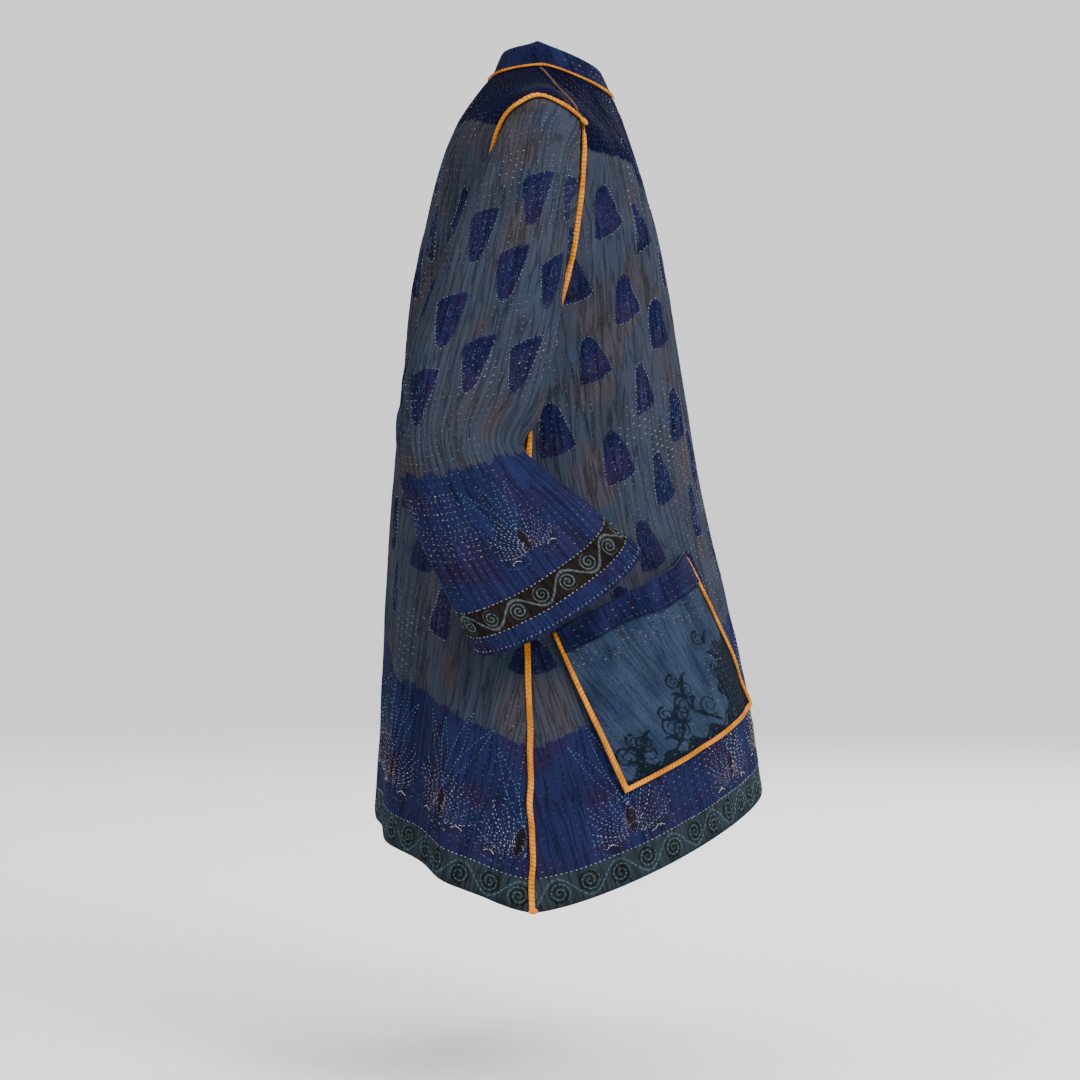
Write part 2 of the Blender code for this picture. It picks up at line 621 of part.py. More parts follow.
def add_neck_binding(front, front_normals, back, back_normals, collar, collar_normals, parts):
    """Thin binding over the seam between the neck edge and the collar."""
    front_columns = np.arange(1.0, front.shape[1] - 2 * SEAM_RIDGES - 0.5, 3.0)
    back_columns = np.linspace(back.shape[1] - 2 * SEAM_RIDGES - 2.0, 0.0, 11)
    last = collar.shape[1] - 1
    panel_places = []
    for grid, normals, columns in ((front, front_normals, front_columns), (back, back_normals, back_columns)):
        panel_places.append((below_top_edge(grid, normals, columns), grid, columns))

    def on_panels(distance):
        found = [place(distance) for place, _, _ in panel_places]
        points = np.concatenate([found[0][0], found[1][0]])
        normals = np.concatenate([found[0][1], found[1][1]])
        return (np.concatenate([points, mirrored(points)[-2::-1]]),
                np.concatenate([normals, mirrored(normals)[-2::-1]]))

    edge, _ = on_panels(0.0)
    base = collar[-1]
    run = np.concatenate([[0], np.cumsum(np.linalg.norm(np.diff(base, axis=0), axis=1))])
    path = np.concatenate([[0], np.cumsum(np.linalg.norm(np.diff(edge, axis=0), axis=1))])
    first = np.linalg.norm(edge[0] - base[0])
    columns = np.interp(first + path * (run[-1] - 2 * first) / path[-1], run, np.arange(last + 1))
    step = np.linalg.norm(collar[-2, 0] - collar[-1, 0])

    def on_collar(distance):
        row = np.full_like(columns, collar.shape[0] - 1 - distance / step)
        return on_grid(collar, row, columns), unit(on_grid(collar_normals, row, columns))
    strip("binding_neck", seam_lines(on_panels, on_collar, NECK_BINDING_WIDTH), ORANGE, parts)


def share_seam_normals(front_normals, back_normals):
    """Give the panels the same normals along the shoulder seam and the side seam they share.

    The seam's outer end gets the mean of the normals around it.
    """
    on_seam = slice(-2 * SEAM_RIDGES - 1, None)
    shared = unit(front_normals[0, on_seam] + back_normals[0, on_seam])
    shared[-3:] = unit(front_normals[1, -1] + back_normals[1, -1] + shared[-4])
    front_normals[0, on_seam] = shared
    back_normals[0, on_seam] = shared
    shared = unit(front_normals[FRONT_UNDERARM_ROW:, -1] + back_normals[BACK_UNDERARM_ROW:, -1])
    front_normals[FRONT_UNDERARM_ROW:, -1] = shared
    back_normals[BACK_UNDERARM_ROW:, -1] = shared


def add_body(parts):
    """Back, fronts, sleeves, collar and pockets, with the bindings on their seams."""
    columns = ridge_columns(panel_grid(FRONT_ROWS, angle_at_opening, 241)[-1])
    front = panel_grid(FRONT_ROWS, angle_at_opening, columns)
    columns = ridge_columns(panel_grid(BACK_ROWS, lambda level: 180.0, 241)[-1])
    half_back = panel_grid(BACK_ROWS, lambda level: 180.0, columns)
    front_normals = outward(front)
    half_normals = outward(half_back)
    half_normals[:, 0, 0] = 0
    half_normals = unit(half_normals)
    share_seam_normals(front_normals, half_normals)
    half_cut = cut_back(half_back)
    back = np.concatenate([half_cut[:, ::-1], mirrored(half_cut)[:, 1:]], axis=1)
    back_normals = np.concatenate([half_normals[:, ::-1], mirrored(half_normals)[:, 1:]], axis=1)
    quilted_wall("back", back, back_normals, QUILT, parts)

    edge, edge_normals, into_hole = armhole(front, front_normals, half_back, half_normals)
    sleeve, sleeve_normals = sleeve_grid(edge, edge_normals, into_hole)
    front_cut = cut_back(front)
    for side, flip in (("right", lambda values: values), ("left", mirrored)):
        quilted_wall("front_" + side, flip(front_cut), flip(front_normals), QUILT, parts)
        quilted_wall("sleeve_" + side, flip(sleeve), flip(sleeve_normals), QUILT, parts, closed=True)
        add_pocket(side, flip, front, front_normals, parts)
        add_bindings(side, flip, front, front_normals, half_back, half_normals, parts)

    path, lead = neck_line(front, half_back, 49)
    collar = collar_grid(path, lead)
    quilted_wall("collar", collar, outward(collar), NAVY, parts)
    add_neck_binding(front, front_normals, half_back, half_normals, collar, outward(collar), parts)


def main():
    """Build the jacket in its own collection."""
    clear_scene()
    parts = bpy.data.collections.new("kantha_jacket")
    bpy.context.scene.collection.children.link(parts)
    add_body(parts)


main()
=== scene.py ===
"""Looks of a quilted cotton jacket worn open: cloth, stitches, prints and bindings.

Every cloth piece is a numpy grid of rows (down) and columns (across) that follows the form of its
solid, with its quilting ridges and creases moved out along the normals. A piece's flat place, in
metres across and metres up from its lower edge, is its UV map and places its stitches.
"""

from collections import namedtuple

import bpy
import numpy as np
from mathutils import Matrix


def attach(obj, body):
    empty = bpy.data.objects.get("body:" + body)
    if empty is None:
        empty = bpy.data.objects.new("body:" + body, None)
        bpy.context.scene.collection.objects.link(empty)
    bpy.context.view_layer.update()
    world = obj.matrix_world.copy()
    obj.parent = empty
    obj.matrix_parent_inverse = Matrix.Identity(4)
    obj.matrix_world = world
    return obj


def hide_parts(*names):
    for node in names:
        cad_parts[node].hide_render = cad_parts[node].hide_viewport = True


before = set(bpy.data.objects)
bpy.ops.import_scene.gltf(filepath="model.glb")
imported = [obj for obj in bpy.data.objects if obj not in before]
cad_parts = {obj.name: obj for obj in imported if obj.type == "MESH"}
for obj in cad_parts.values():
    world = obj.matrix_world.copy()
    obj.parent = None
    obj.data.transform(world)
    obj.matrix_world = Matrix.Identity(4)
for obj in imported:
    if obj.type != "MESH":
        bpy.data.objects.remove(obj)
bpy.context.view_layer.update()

# Driving sizes and shares: lengths in metres, but the camera's lens and sensor in millimetres
WALL = 0.0024
SOLID_PITCH = 0.0145
SEAM_RIDGES = 11
FINER = 4
SEAM_COLUMNS = 2 * SEAM_RIDGES * FINER
ROW_STEP = 0.0066
RIDGE_PITCH = 0.0082
RIDGE_HEIGHT = 0.0016
STITCH_ROW = 0.0064
SEAM_GAP = 0.0006
BINDING_WIDTH = 0.0052
NECK_BINDING_WIDTH = 0.0027
COLLAR_HEIGHT = 0.0260
COLLAR_LEAN = 0.45
POCKET_BULGE = 0.0230
POCKET_BAND_HEIGHT = 0.0265
HEM_BORDER = 0.0285
CUFF_BAND = 0.0175
CUFF_BORDER = 0.0420
ROUNDNESS = 2.3
VEE_POWER = 1.35
SMALL = 1e-9
SPRIG_SIZE = 0.092
SPRIG_SEED = 3
LEAF_WIDTH = 0.036
LEAF_HEIGHT = 0.050
LEAF_TAPER = 0.66
LEAF_WOBBLE = 0.003
LEAF_WAVES = (12.9, 7.1, 5.3, 3.7)
LEAF_FOOT = 0.10
LEAF_TIP = 0.86
LEAF_TIP_LENGTH = 0.14
TAPER_POWER = 1.3
FRONT_SPRIGS = [(0.040, 0.060), (0.137, 0.053), (0.2755, 0.054)]
BACK_SPRIGS = [(0.075, 0.068), (0.170, 0.068), (0.2615, 0.068), (0.345, 0.059)]
YOKE_HEIGHT = -0.0745
YOKE_SLOPE = 0.26
HEM_DYED = 0.166
HEM_DYED_DROP = 0.020
SLEEVE_DYED = 0.165
SLEEVE_DYED_HEIGHT = -0.3615
SLEEVE_DYED_SLOPE = 0.19
HEM_REPEAT = 0.057
SLEEVE_SPRIG = (0.2136, 0.0790)
SLEEVE_SPOTS = [(0.185, 0.455), (0.225, 0.435), (0.240, 0.455), (0.150, 0.430)]
SLEEVE_ROWS = (0.100, 0.185, 0.096, 0.158)
CUFF_DROOP = 0.018
SPIRAL_PITCH = 0.42
COIL_OFFSET = -0.18
CUFF_REPEAT = 0.052
BORDER_MARGIN = 0.0035
MASK_BLUR = 0.0004
DROOP_REACH = 0.075
EDGE_MARGIN = 0.003
BAND_LEAST = 0.0006
BAND_RISE = 0.28
BAND_LIFT = 0.0007
TICK_PITCH = 0.0037
TICK_HALF_WIDTH = 0.00032
TICK_HEIGHT = 0.00030
PRINT_SCALE = np.array([1.55, 1.45])
PRINT_WEIGHT = 1.5
BUMP_STRENGTH = 0.6
BUMP_DISTANCE = 0.0011
SPECULAR_LEVEL = 0.04
CAMERA_PLACE = (-3.0, 0.0, -0.437)
CAMERA_LENS = 105.27
SENSOR_WIDTH = 36.0
FLOOR_LEVEL = -0.93
WORLD_STRENGTH = 1.15
LIGHT_TARGET = (0.0, 0.0, -0.4)
NOISE_LATTICE = 97
NOISE_START = 40.0

# The form of the body, the sleeves and the pockets, as in the solids
Ring = namedtuple("Ring", "level half_width front_y back_y front_z side_z back_z widest_y vee open_half")
RINGS = [
    Ring(0, 0.078, -0.069, 0.0475, -0.020, 0.002, -0.002, -0.002, 0.0, 0.010),
    Ring(1, 0.130, -0.086, 0.074, -0.066, -0.022, -0.038, -0.001, 0.0, 0.012),
    Ring(2, 0.194, -0.098, 0.093, -0.109, -0.043, -0.085, 0.000, 0.0, 0.014),
    Ring(3, 0.2005, -0.111, 0.108, -0.158, -0.105, -0.145, 0.002, 0.0, 0.016),
    Ring(4, 0.1995, -0.121, 0.118, -0.206, -0.165, -0.198, 0.004, 0.0, 0.018),
    Ring(5, 0.1990, -0.129, 0.125, -0.254, -0.222, -0.248, 0.005, 0.1, 0.020),
    Ring(6, 0.2000, -0.137, 0.131, -0.300, -0.272, -0.292, 0.005, 0.2, 0.022),
    Ring(7, 0.2060, -0.150, 0.138, -0.378, -0.360, -0.374, 0.010, 0.4, 0.025),
    Ring(8, 0.2260, -0.168, 0.144, -0.462, -0.462, -0.468, 0.012, 0.7, 0.028),
    Ring(9, 0.2480, -0.187, 0.148, -0.540, -0.562, -0.552, 0.010, 0.9, 0.031),
    Ring(10, 0.2700, -0.201, 0.152, -0.612, -0.660, -0.630, 0.007, 1.0, 0.034),
    Ring(11, 0.2900, -0.209, 0.155, -0.672, -0.757, -0.695, 0.006, 1.0, 0.037),
]
PanelRow = namedtuple(
    "PanelRow", "centre_level edge_level edge_y inner_angle inner_level outer_angle outer_level",
    defaults=(None, None, None, None))
NECK_SIDE_ANGLE = 93
BELOW_ARM = [
    PanelRow(6, 6, 0.005),
    PanelRow(7, 7, 0.010),
    PanelRow(8.2, 8.2, 0.012),
    PanelRow(9.5, 9.5, 0.009),
    PanelRow(11, 11, 0.006),
]
FRONT_ROWS = [
    PanelRow(0, 2, -0.037, NECK_SIDE_ANGLE, 0),
    PanelRow(0.8, 2.45, -0.0365, 88, 0.20, 50, 1.90),
    PanelRow(1.6, 2.90, -0.0350, 70, 1.20, 48, 2.40),
    PanelRow(2.5, 3.45, -0.0320),
    PanelRow(3.6, 4.20, -0.0260),
    PanelRow(4.9, 5.15, -0.0130),
] + BELOW_ARM
BACK_ROWS = [
    PanelRow(0, 2, -0.037, NECK_SIDE_ANGLE, 0),
    PanelRow(0.6, 2.00, -0.018, 125, 0.43, 92.5, 0.90),
    PanelRow(1.2, 2.02, 0.000, 131, 1.00, 101, 1.27),
    PanelRow(1.8, 2.06, 0.017, 136, 1.60, 109, 1.69),
    PanelRow(2.4, 2.20, 0.031, 141, 2.20, 116, 2.13),
    PanelRow(3.0, 2.70, 0.042),
    PanelRow(3.9, 3.80, 0.049),
    PanelRow(4.9, 4.95, 0.041),
] + BELOW_ARM
FRONT_UNDERARM_ROW = 6
BACK_UNDERARM_ROW = 8
Fold = namedtuple("Fold", "angle half_angle depth first_level last_level")
FOLDS = [
    Fold(16, 6, -0.0035, 1.0, 9.0),
    Fold(29, 6, 0.0050, 0.6, 8.0),
    Fold(42, 7, -0.0040, 1.0, 8.0),
    Fold(55, 6, 0.0045, 2.0, 8.0),
    Fold(104, 6, -0.0035, 6.0, 16.0),
    Fold(117, 6, 0.0045, 4.0, 16.0),
    Fold(131, 7, -0.0045, 2.5, 16.0),
    Fold(146, 7, 0.0050, 2.0, 16.0),
    Fold(162, 7, -0.0035, 3.0, 16.0),
]
FOLD_REACH = 3.5
Loop = namedtuple("Loop", "mid_y mid_z swing across under_out under_drop over_out over_rise")
ARMHOLE_LOOP = Loop(0.006, -0.1570, 0, 0.0420, 0.2000, 0.1140, 0.1960, 0.1150)
SLEEVE_LOOPS = [
    Loop(0.006, -0.1580, 0, 0.0420, 0.2068, 0.1070, 0.2080, 0.1100),
    Loop(0.015, -0.1660, -2, 0.0430, 0.2138, 0.1030, 0.2270, 0.1030),
    Loop(0.0255, -0.1860, -5, 0.0500, 0.2150, 0.0980, 0.2500, 0.0880),
    Loop(0.0365, -0.2240, -8, 0.0570, 0.2150, 0.0790, 0.2710, 0.0640),
    Loop(0.0495, -0.2730, -10, 0.0620, 0.2155, 0.0490, 0.2870, 0.0360),
    Loop(0.0615, -0.3180, -10, 0.0615, 0.2165, 0.0240, 0.2970, 0.0160),
    Loop(0.0710, -0.3520, -4, 0.0540, 0.2190, 0.0060, 0.3020, 0.0040),
    Loop(0.0615, -0.3790, 8, 0.0595, 0.2230, 0.0, 0.3055, 0.0),
    Loop(0.0410, -0.4130, 20, 0.0665, 0.2300, 0.0, 0.3100, 0.0),
    Loop(0.0140, -0.4500, 28, 0.0745, 0.2375, 0.0, 0.3155, 0.0),
    Loop(-0.0165, -0.4890, 32.7, 0.0832, 0.2450, 0.0, 0.3210, 0.0),
]
SLEEVE_COLUMNS = 224
SLEEVE_ROUNDNESS = 2.2
OUTLINE_KEPT = [0.9, 0.7, 0.45, 0.25, 0.1, 0.0, 0.0, 0.0, 0.0, 0.0, 0.0]
Corner = namedtuple("Corner", "row share")
POCKET_TOP_FRONT = Corner(7.72, 0.46)
POCKET_TOP_SIDE = Corner(8.30, 0.93)
POCKET_LOW_FRONT = Corner(9.12, 0.145)
POCKET_LOW_SIDE = Corner(9.43, 0.77)

# Creases of each piece: start and end as shares across and down, half width and height in metres
Crease = namedtuple("Crease", "across down across_end down_end half_width height")
CREASES = {
    "front": [
        Crease(0.62, 0.06, 0.50, 0.40, 0.010, -0.0030),
        Crease(0.70, 0.08, 0.58, 0.45, 0.011, 0.0032),
        Crease(0.45, 0.05, 0.36, 0.44, 0.009, -0.0028),
        Crease(0.34, 0.10, 0.28, 0.52, 0.010, 0.0026),
        Crease(0.84, 0.30, 0.70, 0.58, 0.012, -0.0030),
        Crease(0.90, 0.42, 0.80, 0.95, 0.013, 0.0024),
        Crease(0.55, 0.66, 0.52, 1.00, 0.016, -0.0022),
        Crease(0.20, 0.50, 0.22, 0.98, 0.014, -0.0020),
        Crease(0.10, 0.12, 0.10, 0.60, 0.009, 0.0020),
    ],
    "back": [
        Crease(0.10, 0.12, 0.13, 0.60, 0.014, -0.0026),
        Crease(0.24, 0.18, 0.28, 0.80, 0.016, 0.0030),
        Crease(0.40, 0.22, 0.44, 1.00, 0.015, -0.0030),
        Crease(0.56, 0.28, 0.60, 0.92, 0.017, 0.0030),
        Crease(0.74, 0.34, 0.76, 1.00, 0.015, -0.0030),
        Crease(0.90, 0.40, 0.88, 0.96, 0.013, 0.0024),
        Crease(0.66, 0.10, 0.86, 0.34, 0.012, -0.0026),
        Crease(0.50, 0.08, 0.74, 0.30, 0.012, 0.0022),
    ],
    "sleeve": [
        Crease(0.90, 0.10, 0.86, 0.50, 0.012, -0.0028),
        Crease(0.78, 0.16, 0.80, 0.58, 0.012, 0.0026),
        Crease(0.64, 0.20, 0.70, 0.62, 0.014, -0.0026),
        Crease(0.04, 0.22, 0.96, 0.66, 0.010, -0.0034),
        Crease(0.14, 0.56, 0.02, 0.70, 0.010, 0.0032),
        Crease(0.98, 0.60, 0.80, 0.72, 0.010, -0.0030),
        Crease(0.08, 0.66, 0.06, 0.86, 0.008, 0.0030),
        Crease(0.50, 0.52, 0.62, 0.74, 0.012, -0.0026),
        Crease(0.86, 0.74, 0.84, 0.98, 0.014, -0.0026),
        Crease(0.70, 0.72, 0.72, 0.96, 0.014, 0.0024),
    ],
}

# Colours of the cloths and threads, linear
GREY = (0.0225, 0.0270, 0.0410)
BROWN_GREY = (0.0330, 0.0275, 0.0310)
SLATE_BLUE = (0.0170, 0.0265, 0.0460)
NAVY = (0.0045, 0.0055, 0.0260)
DEEP_BLUE = (0.0080, 0.0110, 0.0410)
VIOLET_NAVY = (0.0110, 0.0080, 0.0300)
BORDER_DARK = (0.0060, 0.0068, 0.0072)
BORDER_BROWN = (0.0085, 0.0062, 0.0056)
SCROLL_SLATE = (0.0145, 0.0205, 0.0260)
SCROLL_PALE = (0.0270, 0.0400, 0.0470)
CUFF_SLATE = (0.0560, 0.0620, 0.0660)
YOKE_NAVY = (0.0015, 0.0019, 0.0130)
YOKE_BLUE = (0.0022, 0.0032, 0.0180)
DENIM = (0.0195, 0.0305, 0.0560)
DENIM_WORN = (0.0110, 0.0200, 0.0420)
DENIM_DARK = (0.0030, 0.0060, 0.0110)
ORANGE = (0.540, 0.195, 0.012)
ORANGE_DARK = (0.430, 0.140, 0.008)
FADED_BINDING = (0.085, 0.062, 0.045)
REVERSE = (0.110, 0.115, 0.030)
REVERSE_DARK = (0.075, 0.070, 0.022)
THREADS = {name: np.array(colour) for name, colour in {
    "white": (0.36, 0.37, 0.36), "teal": (0.075, 0.160, 0.200), "pink": (0.24, 0.15, 0.15),
    "gold": (0.24, 0.16, 0.075), "blue": (0.020, 0.034, 0.095), "dark": (0.004, 0.004, 0.005),
    "amber": (0.230, 0.070, 0.006), "slate": (0.045, 0.066, 0.088),
}.items()}

# Area lights: name, place, size and power
LIGHTS = (("key", (-3.2, -2.4, 1.8), 1.8, 240), ("fill", (-2.6, 2.8, 0.8), 2.2, 18),
          ("far_side", (3.0, -1.5, 1.8), 2.2, 90), ("top", (0.0, 0.0, 3.2), 2.5, 30))

# Repeat of leaf shapes: first column, column step, row step, lowest row, rise of each second column
# as a share of the row step, lean of the columns and of the shapes, lowest and highest
# centre kept, 1 for narrow end up or -1
Repeat = namedtuple("Repeat", "first across up rise shift lean slant lowest highest upright")
BODY_LEAVES = Repeat(0.029, 0.050, 0.096, 0.086, 0.5, 0.165, 0.12, 0.185, 0.65, 1.0)
SLEEVE_LEAVES = Repeat(0.037, 0.0548, 0.0715, 0.0393, 0.72, 0.22, -0.02, 0.195, 0.415, -1.0)

# A piece of cloth: grid and normals, flat places (across, up), its creased grid, that grid with its
# quilting, whether its columns join up, its table of places, its greatest flat sizes
Cloth = namedtuple("Cloth", "name grid normals flat soft raised closed places extent")
# Dashes of thread in flat metres: centre, half length along a direction, half width, colour
Dashes = namedtuple("Dashes", "centre way half_length half_width colour")


def unit(vectors):
    """Vectors divided by their lengths."""
    return vectors / (np.linalg.norm(vectors, axis=-1, keepdims=True) + SMALL)


def smooth(values):
    """Zero below 0, one above 1, and an even rise between."""
    values = np.clip(values, 0, 1)
    return values * values * (3 - 2 * values)


def noise(u, v, size, seed):
    """Random values from -1 to 1 on a square lattice, joined by smooth rises."""
    table = np.random.default_rng(seed).uniform(-1, 1, (NOISE_LATTICE, NOISE_LATTICE))
    x = u / size + NOISE_START
    y = v / size + NOISE_START
    column = np.floor(x).astype(int)
    row = np.floor(y).astype(int)
    a = smooth(x - column)
    b = smooth(y - row)

    def value(i, j):
        return table[i % NOISE_LATTICE, j % NOISE_LATTICE]
    near = value(row, column) * (1 - a) + value(row, column + 1) * a
    far = value(row + 1, column) * (1 - a) + value(row + 1, column + 1) * a
    return near * (1 - b) + far * b


def through(column, level):
    """Smooth curve through the rings' values of one column, at fractional levels."""
    values = np.array([getattr(ring, column) for ring in RINGS])
    slopes = np.gradient(values)
    level = np.clip(level, 0, len(values) - 1)
    low = np.minimum(level.astype(int), len(values) - 2)
    t = level - low
    rise = t * t * (3 - 2 * t)
    return (values[low] * (1 - rise) + values[low + 1] * rise
            + slopes[low] * t * (1 - t) ** 2 - slopes[low + 1] * t * t * (1 - t))


def body_point(angle, level):
    """Point of the body at an angle from the front centre and a level.

    Each ring is a rounded oval with its own front, side and back height; folds move it in or out.
    """
    turn = np.radians(angle)
    sine = np.abs(np.sin(turn)) ** (2 / ROUNDNESS)
    share = np.abs(np.cos(turn)) ** (2 / ROUNDNESS)
    to_front = np.cos(turn) > 0
    half_width = through("half_width", level)
    widest = through("widest_y", level)
    depth = np.where(to_front, through("front_y", level), through("back_y", level)) - widest
    end_z = np.where(to_front, through("front_z", level), through("back_z", level))
    side_z = through("side_z", level)
    vee = through("vee", level)
    soft = 1.15 * share ** 2 / (share + 0.15)
    pointed = share ** VEE_POWER
    x = -half_width * sine
    y = widest + share * depth
    z = side_z + (end_z - side_z) * (soft * (1 - vee) + pointed * vee)
    outward = unit(np.stack([x / half_width ** 2, (y - widest) / depth ** 2], axis=-1))
    move = np.zeros_like(x)
    for fold in FOLDS:
        grown = (np.clip((level - fold.first_level) / FOLD_REACH, 0, 1)
                 * np.clip((fold.last_level - level) / FOLD_REACH, 0, 1))
        move = move + fold.depth * grown * np.exp(-((angle - fold.angle) / fold.half_angle) ** 2)
    return np.stack([x + outward[..., 0] * move, y + outward[..., 1] * move, z], axis=-1)


def angle_at_y(y, level):
    """Angle at which the ring of a level has the given y."""
    level = np.array(float(level))
    widest = through("widest_y", level)
    end = through("front_y", level) if y < widest else through("back_y", level)
    share = np.clip((y - widest) / (end - widest), 0, 1)
    turn = np.degrees(np.arccos(share ** (ROUNDNESS / 2)))
    return float(turn if y < widest else 180 - turn)


def angle_at_opening(level):
    """Angle at which the front edge stands off the centre by the opening's half width."""
    level = np.array(float(level))
    share = through("open_half", level) / through("half_width", level)
    return float(np.degrees(np.arcsin(share ** (ROUNDNESS / 2))))


def lengths_along(points, axis=0):
    """Distance run along an axis of a grid of points."""
    steps = np.linalg.norm(np.diff(points, axis=axis), axis=-1)
    run = np.cumsum(steps, axis=axis)
    return np.concatenate([np.zeros_like(np.take(run, [0], axis=axis)), run], axis=axis)


def along_line(places, run, points):
    """Points of a polyline at distances along it."""
    return np.stack([np.interp(places, run, values) for values in points.T], axis=1)


def evenly(points, count):
    """The polyline's points resampled at equal lengths."""
    run = lengths_along(points)
    return along_line(np.linspace(0, run[-1], count), run, points)


def panel_grid(rows, start_angle, count, seam_count):
    """Grid of a half panel from the centre edge to the outer edge, one row for each table row."""
    share = np.linspace(0, 1, 901)[:, None]
    grid = []
    for row in rows:
        first = np.array([start_angle(row.centre_level), row.centre_level])
        last = np.array([angle_at_y(row.edge_y, row.edge_level), row.edge_level])
        if row.outer_angle is not None:
            inner = np.array([row.inner_angle, row.inner_level])
            outer = np.array([row.outer_angle, row.outer_level])
            place = (first * (1 - share) ** 3 + inner * 3 * share * (1 - share) ** 2
                     + outer * 3 * share ** 2 * (1 - share) + last * share ** 3)
            grid.append(evenly(body_point(place[:, 0], place[:, 1]), count))
        elif row.inner_angle is not None:
            corner = np.array([row.inner_angle, row.inner_level])
            neck = first + (corner - first) * share
            seam = corner + (last - corner) * share
            neck_points = evenly(body_point(neck[:, 0], neck[:, 1]), count - seam_count + 1)
            seam_points = evenly(body_point(seam[:, 0], seam[:, 1]), seam_count)
            grid.append(np.concatenate([neck_points, seam_points[1:]]))
        else:
            place = first + (last - first) * share
            grid.append(evenly(body_point(place[:, 0], place[:, 1]), count))
    return np.array(grid)


def refined(grid, step):
    """Smooth rows between the given ones, and the new row number of each given row.

    A curve of the third degree runs down each column; its slopes are those of the rows' mean
    distances.
    """
    spans = np.linalg.norm(np.diff(grid, axis=0), axis=-1).mean(axis=1)
    places = np.concatenate([[0], np.cumsum(spans)])
    slopes = np.gradient(grid, places, axis=0)
    rows = []
    starts = [0]
    for low, span in enumerate(spans):
        count = max(2, int(np.ceil(span / step)))
        t = (np.arange(count) / count)[:, None, None]
        rise = t * t * (3 - 2 * t)
        rows.append(grid[low] * (1 - rise) + grid[low + 1] * rise
                    + span * (slopes[low] * t * (1 - t) ** 2 - slopes[low + 1] * t * t * (1 - t)))
        starts.append(starts[-1] + count)
    rows.append(grid[-1:])
    return np.concatenate(rows), starts


def grid_normals(grid, closed=False):
    """Unit normals of a grid: its step down crossed with its step across."""
    if closed:
        wrapped = np.concatenate([grid[:, -1:], grid, grid[:, :1]], axis=1)
        across = np.gradient(wrapped, axis=1)[:, 1:-1]
    else:
        across = np.gradient(grid, axis=1)
    return unit(np.cross(np.gradient(grid, axis=0), across))


def outward(grid):
    """Normals of a grid, turned away from the middle of the jacket."""
    normals = grid_normals(grid)
    facing = np.sum(normals * grid * np.array([1.0, 1.0, 0.0]), axis=-1).mean()
    return normals * np.sign(facing)


def mirrored(grid):
    """The grid on the other side of the middle plane."""
    return grid * np.array([-1.0, 1.0, 1.0])


def same(grid):
    """The grid as it is."""
    return grid


def on_grid(grid, row, column, closed=False):
    """Values of a grid at fractional rows and columns."""
    if closed:
        grid = np.concatenate([grid, grid[:, :1]], axis=1)
        column = column % (grid.shape[1] - 1)
    row = np.clip(row, 0, grid.shape[0] - 1 - SMALL)
    column = np.clip(column, 0, grid.shape[1] - 1 - SMALL)
    low_row = row.astype(int)
    low_column = column.astype(int)
    by_row = (row - low_row)[..., None]
    by_column = (column - low_column)[..., None]
    near = grid[low_row, low_column] * (1 - by_column) + grid[low_row, low_column + 1] * by_column
    far = grid[low_row + 1, low_column] * (1 - by_column) + grid[low_row + 1, low_column + 1] * by_column
    return near * (1 - by_row) + far * by_row


def flat_places(grid, closed):
    """Metres across from the first column and metres up from the last row, for every point."""
    up = lengths_along(grid[::-1])[::-1]
    ring = np.concatenate([grid, grid[:, :1]], axis=1) if closed else grid
    across = lengths_along(ring, axis=1)
    if closed:
        across = across[-1:].repeat(len(grid), axis=0)[:, :-1]
    return np.stack([across, up], axis=-1)


def crease_heights(kind, shape, flat, start):
    """Height of the creases: each a soft hollow or ridge along a line, fading at both ends."""
    down, across = np.meshgrid(np.linspace(0, 1, shape[0]), np.linspace(0, 1, shape[1]), indexing="ij")
    across = (across + start) % 1
    size = np.array([np.ptp(flat[..., 0]), np.ptp(flat[..., 1])])
    total = np.zeros(shape)
    for number, crease in enumerate(CREASES.get(kind, [])):
        start = np.array([crease.across, crease.down])
        way = np.array([crease.across_end, crease.down_end]) - start
        length = np.linalg.norm(way * size)
        near = ((across - start[0]) * way[0] * size[0] ** 2 + (down - start[1]) * way[1] * size[1] ** 2)
        share = near / length ** 2
        bend = 0.004 * np.sin(3.0 * share + number)
        off_x = (across - start[0] - way[0] * share) * size[0]
        off_y = (down - start[1] - way[1] * share) * size[1]
        side = np.sign(off_x) * np.hypot(off_x, off_y) + bend
        fade = smooth(share / 0.25) * smooth((1 - share) / 0.35)
        total += crease.height * fade * np.exp(-(side / crease.half_width) ** 2)
    return total


def quilt_heights(flat, seed, edge_fade):
    """Height of the quilting: uneven upright ridges, broken a little at every row of stitches."""
    across, up = flat[..., 0], flat[..., 1]
    drift = 0.0022 * noise(across, up * 0.4, 0.030, seed) + 0.0010 * noise(across, up, 0.011, seed + 1)
    wave = np.cos(2 * np.pi * (across + drift) / RIDGE_PITCH)
    strength = 0.72 + 0.38 * noise(across, up, 0.024, seed + 2)
    pucker = 0.30 * np.cos(2 * np.pi * up / STITCH_ROW) * (0.5 + 0.5 * wave)
    broad = 0.8 * noise(across, up * 0.5, 0.045, seed + 3)
    return 0.5 * RIDGE_HEIGHT * (wave * strength + pucker + broad) * edge_fade


